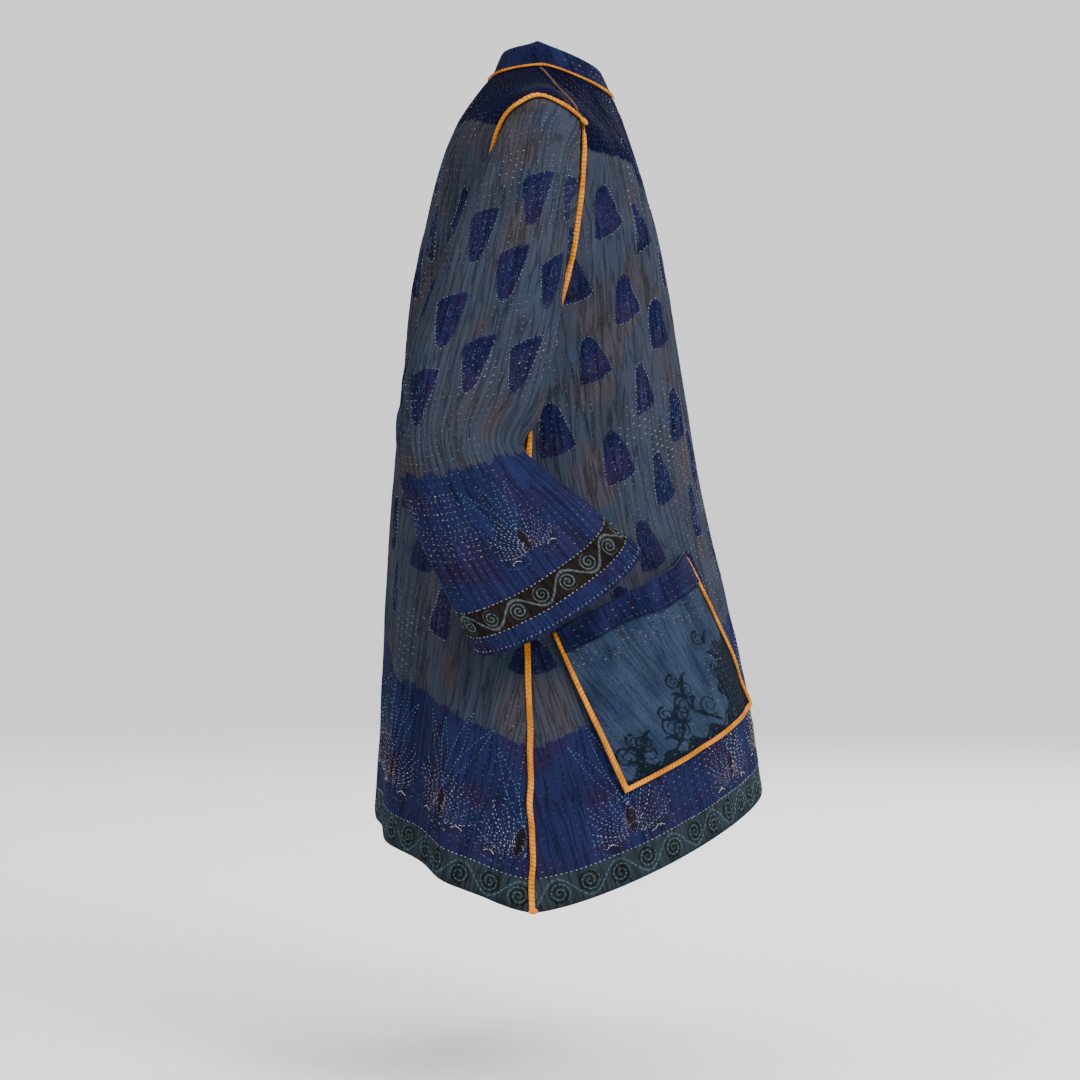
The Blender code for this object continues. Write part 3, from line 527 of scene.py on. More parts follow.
def place_table(flat, closed):
    """Table from flat metres to grid rows and columns, in steps of the stitch row's half."""
    step = 0.5 * STITCH_ROW
    rows, columns = flat.shape[:2]
    width = flat[..., 0].max()
    height = flat[..., 1].max()
    heights = np.arange(0, height + step, step)
    row_at = np.stack([np.interp(heights, flat[::-1, column, 1], np.arange(rows)[::-1])
                       for column in range(columns)], axis=1)
    column_numbers = np.arange(columns, dtype=float)[None, :].repeat(len(heights), axis=0)
    across_at = on_grid(flat, row_at, column_numbers)[..., 0]
    widths = np.arange(0, width + step, step)
    table = np.zeros((len(heights), len(widths), 2))
    limit = np.zeros(len(heights))
    for number in range(len(heights)):
        table[number, :, 1] = np.interp(widths, across_at[number], column_numbers[number])
        table[number, :, 0] = np.interp(table[number, :, 1], column_numbers[number], row_at[number])
        limit[number] = across_at[number, -1]
    tops = flat[0, :, 1]
    return {"step": step, "table": table, "limit": limit, "heights": heights,
            "tops": tops, "columns": column_numbers[0], "closed": closed}


def cloth_of(name, kind, grid, normals, seed, closed=False, ridge_share=1.0, start=0.0):
    """Work out a piece's flat places and its surface with quilting and creases."""
    flat = flat_places(grid, closed)
    count = grid.shape[1]
    edge = np.minimum(np.arange(count), np.arange(count)[::-1])[None, :]
    down = np.minimum(np.arange(len(grid)), np.arange(len(grid))[::-1])[:, None]
    fade = smooth(edge / 3.0) if not closed else np.ones((1, count))
    fade = fade * smooth((down + 0.5) / 2.0)
    soft = grid + normals * (crease_heights(kind, grid.shape[:2], flat, start) * fade)[..., None]
    raised = soft + normals * (ridge_share * quilt_heights(flat, seed, fade))[..., None]
    table = place_table(flat, closed)
    extent = (float(flat[..., 0].max()), float(flat[..., 1].max()))
    return Cloth(name, grid, normals, flat, soft, raised, closed, table, extent)


def place_on(cloth, flat):
    """Points and normals of a cloth at flat metres, and which of them are inside the piece."""
    info = cloth.places
    column = flat[..., 0] / info["step"]
    row = flat[..., 1] / info["step"]
    found = on_grid(info["table"], row, column)
    limit = np.interp(flat[..., 1], info["heights"], info["limit"])
    top = np.interp(found[..., 1], info["columns"], info["tops"])
    inside = (flat[..., 0] > EDGE_MARGIN) & (flat[..., 0] < limit - EDGE_MARGIN)
    inside &= (flat[..., 1] > 0.5 * EDGE_MARGIN) & (flat[..., 1] < top - EDGE_MARGIN)
    points = on_grid(cloth.raised, found[..., 0], found[..., 1], cloth.closed)
    normals = unit(on_grid(cloth.normals, found[..., 0], found[..., 1], cloth.closed))
    return points, normals, inside


def on_side(cloth, flip, name):
    """The cloth, flipped or as it is, under a name."""
    fields = ("grid", "normals", "soft", "raised")
    return cloth._replace(name=name, **{field: flip(getattr(cloth, field)) for field in fields})


def both_halves(half, flip):
    """Whole grid from the half that starts at the middle plane."""
    return np.concatenate([half[:, ::-1], flip(half)[:, 1:]], axis=1)


def new_object(name, points, groups, material):
    """A mesh object at the origin, riding on the one body, from arrays of faces of equal size."""
    mesh = bpy.data.meshes.new(name)
    corners = np.concatenate([group.ravel() for group in groups]).astype(np.int32)
    sizes = np.concatenate([np.full(len(group), group.shape[1]) for group in groups])
    mesh.vertices.add(len(points))
    mesh.vertices.foreach_set("co", np.asarray(points, dtype=np.float32).ravel())
    mesh.loops.add(len(corners))
    mesh.loops.foreach_set("vertex_index", corners)
    mesh.polygons.add(len(sizes))
    starts = np.concatenate([[0], np.cumsum(sizes)[:-1]]).astype(np.int32)
    mesh.polygons.foreach_set("loop_start", starts)
    mesh.polygons.foreach_set("use_smooth", np.ones(len(sizes), dtype=bool))
    mesh.update(calc_edges=True)
    mesh.validate()
    mesh.materials.append(material)
    piece = bpy.data.objects.new(name, mesh)
    bpy.context.scene.collection.objects.link(piece)
    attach(piece, "root")
    return piece


def add_values(piece, name, values):
    """Store one number for each point as an attribute."""
    layer = piece.data.attributes.new(name, "FLOAT", "POINT")
    layer.data.foreach_set("value", np.asarray(values, dtype=np.float32).ravel())


def add_colours(piece, colours):
    """Store a colour for each point as an attribute."""
    layer = piece.data.attributes.new("thread", "FLOAT_COLOR", "POINT")
    full = np.concatenate([colours, np.ones((len(colours), 1))], axis=1)
    layer.data.foreach_set("color", full.astype(np.float32).ravel())


def add_flat_map(piece, flat):
    """Store the flat places as the UV map."""
    layer = piece.data.uv_layers.new(name="flat")
    corners = np.zeros(len(piece.data.loops), dtype=np.int32)
    piece.data.loops.foreach_get("vertex_index", corners)
    layer.data.foreach_set("uv", flat.reshape(-1, 2)[corners].astype(np.float32).ravel())


def wrapped_faces(rows, columns, closed=False):
    """Faces of a grid whose columns join up, and whose rows do too if it is closed."""
    row, column = np.meshgrid(np.arange(rows if closed else rows - 1), np.arange(columns), indexing="ij")
    after = (row + 1) % rows
    beside = (column + 1) % columns
    return np.stack([row * columns + column, row * columns + beside,
                     after * columns + beside, after * columns + column], axis=-1).reshape(-1, 4)


def facing_out(groups, quad, way, flip):
    """Faces turned so that the given quad looks along a direction, and over again if mirrored."""
    looks = np.cross(quad[1] - quad[0], quad[3] - quad[0])
    if (np.dot(looks, way) < 0) != (flip is mirrored):
        groups = [group[:, ::-1] for group in groups]
    return groups


def shell_faces(rows, columns, closed):
    """Faces of an outer grid, an inner grid on every second column, and the rims between them."""
    start = rows * columns
    inner_columns = (columns + 1) // 2
    pairs = columns // 2 if closed else inner_columns - 1
    row, column = np.meshgrid(np.arange(rows - 1), np.arange(columns if closed else columns - 1),
                              indexing="ij")
    here = row * columns + column
    beside = row * columns + (column + 1) % columns
    outer = np.stack([here, beside, beside + columns, here + columns], axis=-1).reshape(-1, 4)
    row, pair = np.meshgrid(np.arange(rows - 1), np.arange(pairs), indexing="ij")
    here = start + row * inner_columns + pair
    beside = start + row * inner_columns + (pair + 1) % inner_columns
    inner = np.stack([here, here + inner_columns, beside + inner_columns, beside], axis=-1).reshape(-1, 4)
    pair = np.arange(pairs)
    ends = []
    for level in (0, rows - 1):
        edge = [level * columns + (2 * pair + step) % columns for step in (0, 1, 2)]
        back = [start + level * inner_columns + (pair + step) % inner_columns for step in (1, 0)]
        faces = np.stack(edge + back, axis=-1)
        ends.append(faces[:, ::-1] if level == 0 else faces)
    groups = [outer, inner] + ends
    if not closed:
        level = np.arange(rows - 1)
        side = level * columns
        inside = start + level * inner_columns
        groups.append(np.stack([side, side + columns, inside + inner_columns, inside], axis=-1))
        far = side + columns - 1
        inside = inside + inner_columns - 1
        groups.append(np.stack([far + columns, far, inside, inside + inner_columns], axis=-1))
    return groups


def add_shell(cloth, material, replaced, marks):
    """Closed cloth of a piece: its raised outer side, a plain inner side and rims."""
    rows, columns = cloth.grid.shape[:2]
    inner = (cloth.soft - cloth.normals * WALL)[:, ::2]
    points = np.concatenate([cloth.raised.reshape(-1, 3), inner.reshape(-1, 3)])
    groups = shell_faces(rows, columns, cloth.closed)
    span = groups[0][len(groups[0]) // 2]
    groups = facing_out(groups, points[span], cloth.normals.reshape(-1, 3)[span[0]], same)
    piece = new_object(cloth.name, points, groups, material)

    def both(values):
        sparse = values[:, ::2].reshape(inner.shape[0] * inner.shape[1], -1)
        return np.concatenate([values.reshape(rows * columns, -1), sparse])
    add_flat_map(piece, both(cloth.flat))
    side = np.zeros(len(points))
    side[:rows * columns] = 1
    add_values(piece, "outer_side", side)
    for name, values in marks.items():
        add_values(piece, name, both(values))
    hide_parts(replaced)
    return piece


def declare(cloth, extras):
    """Take the piece's grid, with its first column repeated at its end if its columns join up; nothing more
    is done with it.
    """
    grid = cloth.grid
    if cloth.closed:
        grid = np.concatenate([grid, grid[:, :1]], axis=1)


# Shader parts

def socket_value(node, name, value):
    """Set a socket's constant or link an output to it."""
    if isinstance(value, bpy.types.NodeSocket):
        node.id_data.links.new(value, node.inputs[name])
    else:
        node.inputs[name].default_value = value


def maths(tree, operation, first, second=0.0, third=None, clamp=False):
    """Output of a Math node."""
    node = tree.nodes.new("ShaderNodeMath")
    node.operation = operation
    node.use_clamp = clamp
    socket_value(node, 0, first)
    socket_value(node, 1, second)
    if third is not None:
        socket_value(node, 2, third)
    return node.outputs[0]


def sum_of(operation):
    """Function that adds a Math node of one operation to a tree."""
    return lambda tree, *values, **options: maths(tree, operation, *values, **options)


times, plus, minus, divided, times_plus = [
    sum_of(operation) for operation in ("MULTIPLY", "ADD", "SUBTRACT", "DIVIDE", "MULTIPLY_ADD")]


def rising(tree, value, low, high):
    """Smooth rise from 0 to 1 as the value goes from low to high."""
    node = tree.nodes.new("ShaderNodeMapRange")
    node.interpolation_type = "SMOOTHSTEP"
    socket_value(node, "Value", value)
    node.inputs["From Min"].default_value = low
    node.inputs["From Max"].default_value = high
    return node.outputs["Result"]


def mixed(tree, share, first, second):
    """Colour between two others."""
    node = tree.nodes.new("ShaderNodeMix")
    node.data_type = "RGBA"
    for place, value in ((0, share), (6, first), (7, second)):
        if isinstance(value, bpy.types.NodeSocket):
            tree.links.new(value, node.inputs[place])
        elif place:
            node.inputs[place].default_value = (*value, 1.0)
        else:
            node.inputs[place].default_value = value
    return node.outputs[2]


def value_of(tree, name):
    """Output of an attribute as a number."""
    node = tree.nodes.new("ShaderNodeAttribute")
    node.attribute_name = name
    return node.outputs["Fac"]


def flat_map(tree):
    """Flat place in metres: the vector, and its parts across and up."""
    node = tree.nodes.new("ShaderNodeUVMap")
    node.uv_map = "flat"
    parts = tree.nodes.new("ShaderNodeSeparateXYZ")
    tree.links.new(node.outputs[0], parts.inputs[0])
    return node.outputs[0], parts.outputs[0], parts.outputs[1]


def stretched_noise(tree, vector, across, up, detail=3.0):
    """Noise over the flat place, with its own fineness across and up."""
    mapping = tree.nodes.new("ShaderNodeMapping")
    mapping.inputs["Scale"].default_value = (across, up, 1.0)
    tree.links.new(vector, mapping.inputs["Vector"])
    texture = tree.nodes.new("ShaderNodeTexNoise")
    texture.inputs["Scale"].default_value = 1.0
    texture.inputs["Detail"].default_value = detail
    tree.links.new(mapping.outputs[0], texture.inputs["Vector"])
    return texture.outputs["Fac"]


SOCKET_KINDS = {"Colour": "NodeSocketColor", "Place": "NodeSocketVector"}


def new_group(name, inputs, outputs):
    """A shader node group with its named sockets, and its input and output nodes."""
    group = bpy.data.node_groups.new(name, "ShaderNodeTree")
    for way, sockets in (("INPUT", inputs), ("OUTPUT", outputs)):
        for socket in sockets:
            kind = SOCKET_KINDS.get(socket, "NodeSocketFloat")
            group.interface.new_socket(socket, in_out=way, socket_type=kind)
    return group, group.nodes.new("NodeGroupInput"), group.nodes.new("NodeGroupOutput")


def worn_cloth_and_crease_shade_group():
    """Cotton that is faded and streaked along its ridges, with painted shade along the creases of its fine
    crinkle, and the height of its weave.
    """
    group, inside, result = new_group(
        "worn_cotton", ["Colour", "Place", "Streaks"], ["Colour", "Height", "Roughness"])
    place = inside.outputs["Place"]
    streak = stretched_noise(group, place, 330.0, 26.0, 4.0)
    blotch = stretched_noise(group, place, 22.0, 16.0, 3.0)
    fleck = stretched_noise(group, place, 1500.0, 700.0, 2.0)
    light = times_plus(group, minus(group, streak, 0.5), inside.outputs["Streaks"], 1.0)
    light = times_plus(group, minus(group, blotch, 0.5), 0.75, light)
    light = times_plus(group, minus(group, fleck, 0.5), 0.70, light)
    # Fine crinkle: along its crease lines the height drops and the colour is darkened as painted shade, as
    # strongly as the streaks are set
    crinkle = stretched_noise(group, place, 130.0, 11.0, 2.5)
    crinkle_crease = rising(group, maths(group, "ABSOLUTE", minus(group, crinkle, 0.5)), 0.0, 0.045)
    painted_crease_shade = times(group, minus(group, 1.0, crinkle_crease), inside.outputs["Streaks"])
    light = times(group, light, times_plus(group, painted_crease_shade, -0.52, 1.08))
    scale = group.nodes.new("ShaderNodeVectorMath")
    scale.operation = "SCALE"
    group.links.new(inside.outputs["Colour"], scale.inputs[0])
    group.links.new(light, scale.inputs["Scale"])
    group.links.new(scale.outputs[0], result.inputs["Colour"])
    height = times_plus(group, streak, 0.6, times(group, fleck, 0.35))
    height = times_plus(group, crinkle_crease, 0.9, height)
    group.links.new(height, result.inputs["Height"])
    group.links.new(times_plus(group, blotch, 0.12, 0.80), result.inputs["Roughness"])
    return group


def jagged_group():
    """Distance past a dyed edge, made uneven in narrow upright fingers."""
    group, inside, result = new_group("dyed_edge", ["Distance", "Place", "Depth"], ["Mask"])
    parts = group.nodes.new("ShaderNodeSeparateXYZ")
    group.links.new(inside.outputs["Place"], parts.inputs[0])
    finger = maths(group, "FLOOR", divided(group, parts.outputs[0], 0.0042))
    random = group.nodes.new("ShaderNodeTexWhiteNoise")
    random.noise_dimensions = "1D"
    group.links.new(finger, random.inputs["W"])
    slow = stretched_noise(group, inside.outputs["Place"], 45.0, 0.0, 2.0)
    uneven = plus(group, times(group, random.outputs["Value"], 0.7),
                   times(group, slow, 2.2))
    moved = plus(group, inside.outputs["Distance"],
                  times(group, minus(group, uneven, 1.4), inside.outputs["Depth"]))
    group.links.new(rising(group, moved, -0.0012, 0.0012), result.inputs["Mask"])
    return group


def leaf_group():
    """Mask of leaf shapes in a repeat whose columns step up by a share, with small teeth.

    Each place takes the nearest centre of the repeat and compares its distance off the middle
    line with the half width of the shape there.
    """
    group, inside, result = new_group(
        "leaf_print", ["Across", "Up", "Column", "Row", "Shift", "Upright", "Slant"],
        ["Mask", "Centre Up"])
    across, up = inside.outputs["Across"], inside.outputs["Up"]
    column = maths(group, "FLOOR", plus(group, divided(group, across, inside.outputs["Column"]), 0.5))
    shift = times(group, maths(group, "PINGPONG", column, 1.0), inside.outputs["Shift"])
    rise = minus(group, divided(group, up, inside.outputs["Row"]), shift)
    row = maths(group, "FLOOR", plus(group, rise, 0.5))
    first, second, third, fourth = LEAF_WAVES
    first_wave = maths(group, "SINE", times_plus(group, column, first, times(group, row, second)))
    second_wave = maths(group, "COSINE", times_plus(group, column, third, times(group, row, fourth)))
    centre_x = times_plus(group, column, inside.outputs["Column"], times(group, first_wave, LEAF_WOBBLE))
    centre_y = times_plus(group, plus(group, row, shift), inside.outputs["Row"],
                     times(group, second_wave, LEAF_WOBBLE))
    rise = minus(group, up, centre_y)
    x = times_plus(group, rise, inside.outputs["Slant"], minus(group, across, centre_x))
    x = maths(group, "ABSOLUTE", x)
    y = times(group, rise, inside.outputs["Upright"])
    share = plus(group, divided(group, y, LEAF_HEIGHT), 0.5, clamp=True)
    foot = minus(group, 1.0, divided(group, share, LEAF_FOOT), clamp=True)
    foot = maths(group, "SQRT", minus(group, 1.0, times(group, foot, foot)))
    tip = divided(group, minus(group, share, LEAF_TIP), LEAF_TIP_LENGTH, clamp=True)
    tip = maths(group, "SQRT", minus(group, 1.0, times(group, tip, tip)))
    taper = minus(group, 1.0, times(group, maths(group, "POWER", share, TAPER_POWER), LEAF_TAPER))
    side = times(group, times(group, foot, tip), taper)
    teeth = maths(group, "PINGPONG", y, 0.0017)
    place = group.nodes.new("ShaderNodeCombineXYZ")
    group.links.new(inside.outputs["Across"], place.inputs[0])
    group.links.new(inside.outputs["Up"], place.inputs[1])
    ragged = times(group, stretched_noise(group, place.outputs[0], 260.0, 340.0, 2.0), 0.0060)
    teeth = times_plus(group, teeth, 1.1, ragged)
    reach = times_plus(group, side, 0.5 * LEAF_WIDTH, minus(group, teeth, 0.0042))
    mask = rising(group, minus(group, reach, x), -0.0007, 0.0007)
    level = minus(group, 0.5 * LEAF_HEIGHT, maths(group, "ABSOLUTE", y))
    mask = times(group, mask, rising(group, level, -0.0004, 0.0004))
    group.links.new(centre_y, result.inputs["Centre Up"])
    group.links.new(mask, result.inputs["Mask"])
    return group


def scroll_group():
    """Masks of a running vine with a coil in each bend, and of the coils' discs, in metres.

    The vine is a sine wave along the band; each coil is a spiral about the middle of its bend.
    """
    group, inside, result = new_group(
        "border_scroll", ["Across", "Up", "Repeat", "Reach"], ["Mask", "Blob"])
    across, up = inside.outputs["Across"], inside.outputs["Up"]
    repeat, reach = inside.outputs["Repeat"], inside.outputs["Reach"]
    turns = divided(group, across, repeat)
    vine = maths(group, "SINE", times(group, turns, 2 * np.pi))
    off_vine = maths(group, "ABSOLUTE", minus(group, up, times(group, vine, reach)))
    half = times(group, turns, 2.0)
    local = minus(group, maths(group, "FRACT", half), 0.5)
    local = times(group, times(group, local, repeat), 0.5)
    parity = maths(group, "MODULO", maths(group, "FLOOR", half), 2.0)
    parity = minus(group, 1.0, times(group, parity, 2.0))
    centre = times(group, times(group, parity, reach), COIL_OFFSET)
    away = minus(group, up, centre)
    radius = maths(group, "SQRT", plus(group, times(group, local, local),
                                        times(group, away, away)))
    pitch = times(group, reach, SPIRAL_PITCH)
    turn = times(group, maths(group, "ARCTAN2", away, local), 0.5 / np.pi)
    arm = minus(group, divided(group, radius, pitch), times(group, turn, parity))
    arm = maths(group, "ABSOLUTE", minus(group, maths(group, "FRACT", arm), 0.5))
    coil = minus(group, 1.0, rising(group, arm, 0.16, 0.24))
    edge = minus(group, radius, times(group, reach, 0.92))
    blob = minus(group, 1.0, rising(group, edge, -0.0006, 0.0006))
    coil = times(group, coil, blob)
    group.links.new(blob, result.inputs["Blob"])
    stem = minus(group, 1.0, rising(group, off_vine, 0.0010, 0.0018))
    group.links.new(maths(group, "MAXIMUM", stem, coil), result.inputs["Mask"])
    return group


def use_group(tree, group, **values):
    """Place a node group and set its inputs; underscores in names stand for spaces."""
    node = tree.nodes.new("ShaderNodeGroup")
    node.node_tree = group
    for name, value in values.items():
        socket_value(node, name.replace("_", " "), value)
    return node


def new_material(name):
    """An empty Principled material, its tree and its shader."""
    material = bpy.data.materials.new(name)
    material.use_nodes = True
    tree = material.node_tree
    shader = tree.nodes["Principled BSDF"]
    shader.inputs["Specular IOR Level"].default_value = SPECULAR_LEVEL
    return material, tree, shader


def finish_cloth(tree, shader, colour, place, groups, streaks=0.9):
    """Put worn cotton over a colour, with painted shade along its crinkle creases and with its bump."""
    worn = use_group(tree, groups["worn"], Colour=colour, Place=place, Streaks=streaks)
    tree.links.new(worn.outputs["Colour"], shader.inputs["Base Color"])
    tree.links.new(worn.outputs["Roughness"], shader.inputs["Roughness"])
    bump_node = tree.nodes.new("ShaderNodeBump")
    bump_node.inputs["Strength"].default_value = BUMP_STRENGTH
    bump_node.inputs["Distance"].default_value = BUMP_DISTANCE
    tree.links.new(worn.outputs["Height"], bump_node.inputs["Height"])
    tree.links.new(bump_node.outputs[0], shader.inputs["Normal"])


def ground_colour(tree, place):
    """Grey cotton with brown and blue-grey stretches."""
    brown = rising(tree, stretched_noise(tree, place, 17.0, 9.0, 2.0), 0.48, 0.64)
    blue = rising(tree, stretched_noise(tree, place, 12.0, 15.0, 2.0), 0.50, 0.68)
    colour = mixed(tree, times(tree, brown, 0.75), GREY, BROWN_GREY)
    return mixed(tree, times(tree, blue, 0.7), colour, SLATE_BLUE)


def body_material(groups, name, border_low, border_high, repeat, leaves, border):
    """Cloth of the body or sleeve: yoke, ground, leaf shapes, dyed blue zone and dark border."""
    material, tree, shader = new_material(name)
    place, across, up = flat_map(tree)
    colour = ground_colour(tree, place)
    yoke = use_group(tree, groups["jagged"], Distance=value_of(tree, "yoke"), Place=place, Depth=0.002)
    blue = use_group(tree, groups["jagged"], Distance=value_of(tree, "dyed"), Place=place, Depth=0.007)
    violet = rising(tree, stretched_noise(tree, place, 14.0, 20.0, 2.0), 0.45, 0.65)
    deep = mixed(tree, violet, DEEP_BLUE, VIOLET_NAVY)
    colour = mixed(tree, yoke.outputs["Mask"], colour, mixed(tree, violet, YOKE_NAVY, YOKE_BLUE))
    aside = minus(tree, maths(tree, "ABSOLUTE", across), leaves.first)
    leaf = use_group(tree, groups["leaf"], Across=times_plus(tree, up, -leaves.lean, aside),
                     Up=minus(tree, up, leaves.rise), Column=leaves.across, Row=leaves.up,
                     Shift=leaves.shift, Upright=leaves.upright, Slant=leaves.lean - leaves.slant)
    middle_up = leaf.outputs["Centre Up"]
    printed = times(tree, maths(tree, "GREATER_THAN", middle_up, leaves.lowest - leaves.rise),
                    maths(tree, "LESS_THAN", middle_up, leaves.highest - leaves.rise))
    printed = times(tree, printed, leaf.outputs["Mask"])
    worn_leaf = rising(tree, stretched_noise(tree, place, 420.0, 90.0, 2.0), 0.30, 0.42)
    share = times(tree, printed, times_plus(tree, worn_leaf, 0.45, 0.55))
    colour = mixed(tree, share, colour, mixed(tree, violet, NAVY, VIOLET_NAVY))
    colour = mixed(tree, blue.outputs["Mask"], colour, deep)
    oval = rising(tree, value_of(tree, "dark_patch"), -0.0008, 0.0008)
    colour = mixed(tree, times(tree, oval, 0.85), colour, BORDER_BROWN)
    in_border = times(tree, rising(tree, up, border_low - MASK_BLUR, border_low + MASK_BLUR),
                      minus(tree, 1.0,
                            rising(tree, up, border_high - MASK_BLUR, border_high + MASK_BLUR)))
    middle = minus(tree, up, 0.5 * (border_low + border_high))
    scroll = use_group(tree, groups["scroll"], Across=across, Up=middle, Repeat=repeat,
                       Reach=0.5 * (border_high - border_low) - BORDER_MARGIN)
    ground, disc, line = border
    worn_disc = rising(tree, stretched_noise(tree, place, 300.0, 300.0, 2.0), 0.30, 0.52)
    band = mixed(tree, times(tree, scroll.outputs["Blob"], worn_disc), ground, disc)
    band = mixed(tree, times(tree, scroll.outputs["Mask"],
                             times_plus(tree, worn_disc, 0.4, 0.4)), band, line)
    colour = mixed(tree, in_border, colour, band)
    reverse = mixed(tree, stretched_noise(tree, place, 30.0, 30.0), REVERSE, REVERSE_DARK)
    colour = mixed(tree, value_of(tree, "outer_side"), reverse, colour)
    finish_cloth(tree, shader, colour, place, groups)
    return material


def plain_material(groups, name, first, second, streaks=0.9):
    """Cloth of two shades without a pattern."""
    material, tree, shader = new_material(name)
    place, _, _ = flat_map(tree)
    share = rising(tree, stretched_noise(tree, place, 40.0, 30.0, 3.0), 0.42, 0.62)
    colour = mixed(tree, share, first, second)
    finish_cloth(tree, shader, colour, place, groups, streaks)
    return material


def pocket_material(groups):
    """Blue cotton with a dark print of stems and leaves, from the print's distances."""
    material, tree, shader = new_material("printed_blue")
    place, _, _ = flat_map(tree)
    share = rising(tree, stretched_noise(tree, place, 30.0, 24.0, 3.0), 0.42, 0.66)
    colour = mixed(tree, share, DENIM, DENIM_WORN)
    worn = stretched_noise(tree, place, 260.0, 260.0, 2.0)
    line = rising(tree, value_of(tree, "print_line"), -0.0005, 0.0005)
    line = times(tree, line, rising(tree, worn, 0.22, 0.40))
    colour = mixed(tree, times(tree, line, 0.95), colour, DENIM_DARK)
    finish_cloth(tree, shader, colour, place, groups, 0.7)
    return material


def thread_material():
    """Thread whose colour is stored with each stitch."""
    material, tree, shader = new_material("thread")
    node = tree.nodes.new("ShaderNodeAttribute")
    node.attribute_name = "thread"
    texture = tree.nodes.new("ShaderNodeTexNoise")
    texture.inputs["Scale"].default_value = 900.0
    coordinates = tree.nodes.new("ShaderNodeTexCoord")
    tree.links.new(coordinates.outputs["Object"], texture.inputs["Vector"])
    scale = tree.nodes.new("ShaderNodeVectorMath")
    scale.operation = "SCALE"
    tree.links.new(node.outputs["Color"], scale.inputs[0])
    tree.links.new(plus(tree, texture.outputs["Fac"], 0.5), scale.inputs["Scale"])
    tree.links.new(scale.outputs[0], shader.inputs["Base Color"])
    shader.inputs["Roughness"].default_value = 0.7
    return material


# Stitches

def join_dashes(parts):
    """Several sets of dashes as one."""
    return Dashes(*[np.concatenate([getattr(part, field) for part in parts]) for field in Dashes._fields])


def along_curve(points, pitch, length, width, colour, seed=1):
    """Dashes along a flat polyline, a pitch apart, each a little uneven."""
    points = np.asarray(points, dtype=float)
    run = lengths_along(points)
    places = np.arange(0.5 * pitch, run[-1], pitch)
    random = np.random.default_rng(seed + len(points) + int(1e4 * run[-1]))
    places = places + random.uniform(-0.12, 0.12, len(places)) * pitch
    centre, ahead, behind = [along_line(places + step, run, points) for step in (0, 0.0006, -0.0006)]
    size = len(places)
    return Dashes(centre, unit(ahead - behind),
                  np.full(size, 0.5 * length) * random.uniform(0.8, 1.15, size), np.full(size, 0.5 * width),
                  np.tile(colour, (size, 1)) * random.uniform(0.7, 1.1, (size, 1)))


def add_stitches(name, cloth, dashes, material, flip):
    """Joined mesh of dashes: each a long bead with pointed ends, half sunk in the cloth."""
    ends = dashes.way * dashes.half_length[:, None]
    sides = np.stack([-dashes.way[:, 1], dashes.way[:, 0]], axis=1) * dashes.half_width[:, None]
    flats = np.stack([dashes.centre - ends, dashes.centre + ends, dashes.centre - sides,
                      dashes.centre + sides, dashes.centre, dashes.centre], axis=1)
    points, normals, inside = place_on(cloth, flats)
    heights = np.array([-0.00025, -0.00025, 0.0, 0.0, 0.00055, -0.0004])
    points = points + normals * heights[None, :, None]
    kept = inside.all(axis=1)
    points = flip(points[kept])
    count = len(points)
    corners = np.array([[0, 2, 4], [2, 1, 4], [1, 3, 4], [3, 0, 4],
                        [2, 0, 5], [1, 2, 5], [3, 1, 5], [0, 3, 5]])
    faces = (np.arange(count)[:, None, None] * 6 + corners[None]).reshape(-1, 3)
    first = points[0]
    toward = np.dot(np.cross(first[2] - first[0], first[4] - first[0]), flip(normals[kept])[0, 0])
    if toward < 0:
        faces = faces[:, ::-1]
    piece = new_object(name, points.reshape(-1, 3), [faces], material)
    add_colours(piece, np.repeat(dashes.colour[kept], 6, axis=0))
    return piece


def running_rows(cloth, seed, zone_colour, sparse=0.0, low=0.0, high=9.0, bright_spots=(), slope=0.0):
    """Running stitches over a piece: a dash in each hollow of each sloping row, coloured in patches."""
    high = min(high, cloth.extent[1])
    rows = np.arange(low + 0.5 * STITCH_ROW, high + abs(slope) * cloth.extent[0], STITCH_ROW)
    columns = np.arange(0.5 * RIDGE_PITCH, cloth.extent[0], RIDGE_PITCH)
    up, across = [values.ravel() for values in np.meshgrid(rows, columns, indexing="ij")]
    random = np.random.default_rng(seed)
    size = len(up)
    across = across - 0.0022 * noise(across, up * 0.4, 0.030, seed) + random.uniform(-0.0007, 0.0007, size)
    up = up - abs(slope) * across if slope < 0 else up - slope * (cloth.extent[0] - across)
    up = up + 0.0014 * noise(across, up, 0.060, seed + 5) + random.uniform(-0.0005, 0.0005, size)
    way = unit(np.stack([np.ones(size), slope + 0.16 * noise(across, up, 0.050, seed + 6)], axis=1))
    colour = zone_colour(up)
    bright = noise(across, up, 0.055, seed + 7)
    tint = noise(across, up, 0.040, seed + 8)
    palette = np.where((tint > 0.35)[:, None], THREADS["gold"],
                       np.where((tint > 0.05)[:, None], THREADS["pink"],
                                np.where((tint > -0.35)[:, None], THREADS["teal"], THREADS["white"])))
    for x, y in bright_spots:
        bright = bright + 1.3 * np.exp(-((across - x) / 0.034) ** 2 - ((up - y + 0.004) / 0.030) ** 2)
    share = smooth((bright + 0.25) / 0.6) * random.uniform(0.15, 1.0, size) ** 1.2
    colour = colour * (1 - share[:, None]) + palette * share[:, None]
    kept = (random.uniform(0, 1, size) > sparse) & (up > low) & (up < high)
    length = random.uniform(0.0013, 0.0025, size)
    return Dashes(np.stack([across, up], axis=1)[kept], way[kept], length[kept],
                  random.uniform(0.00028, 0.00046, size)[kept], colour[kept])


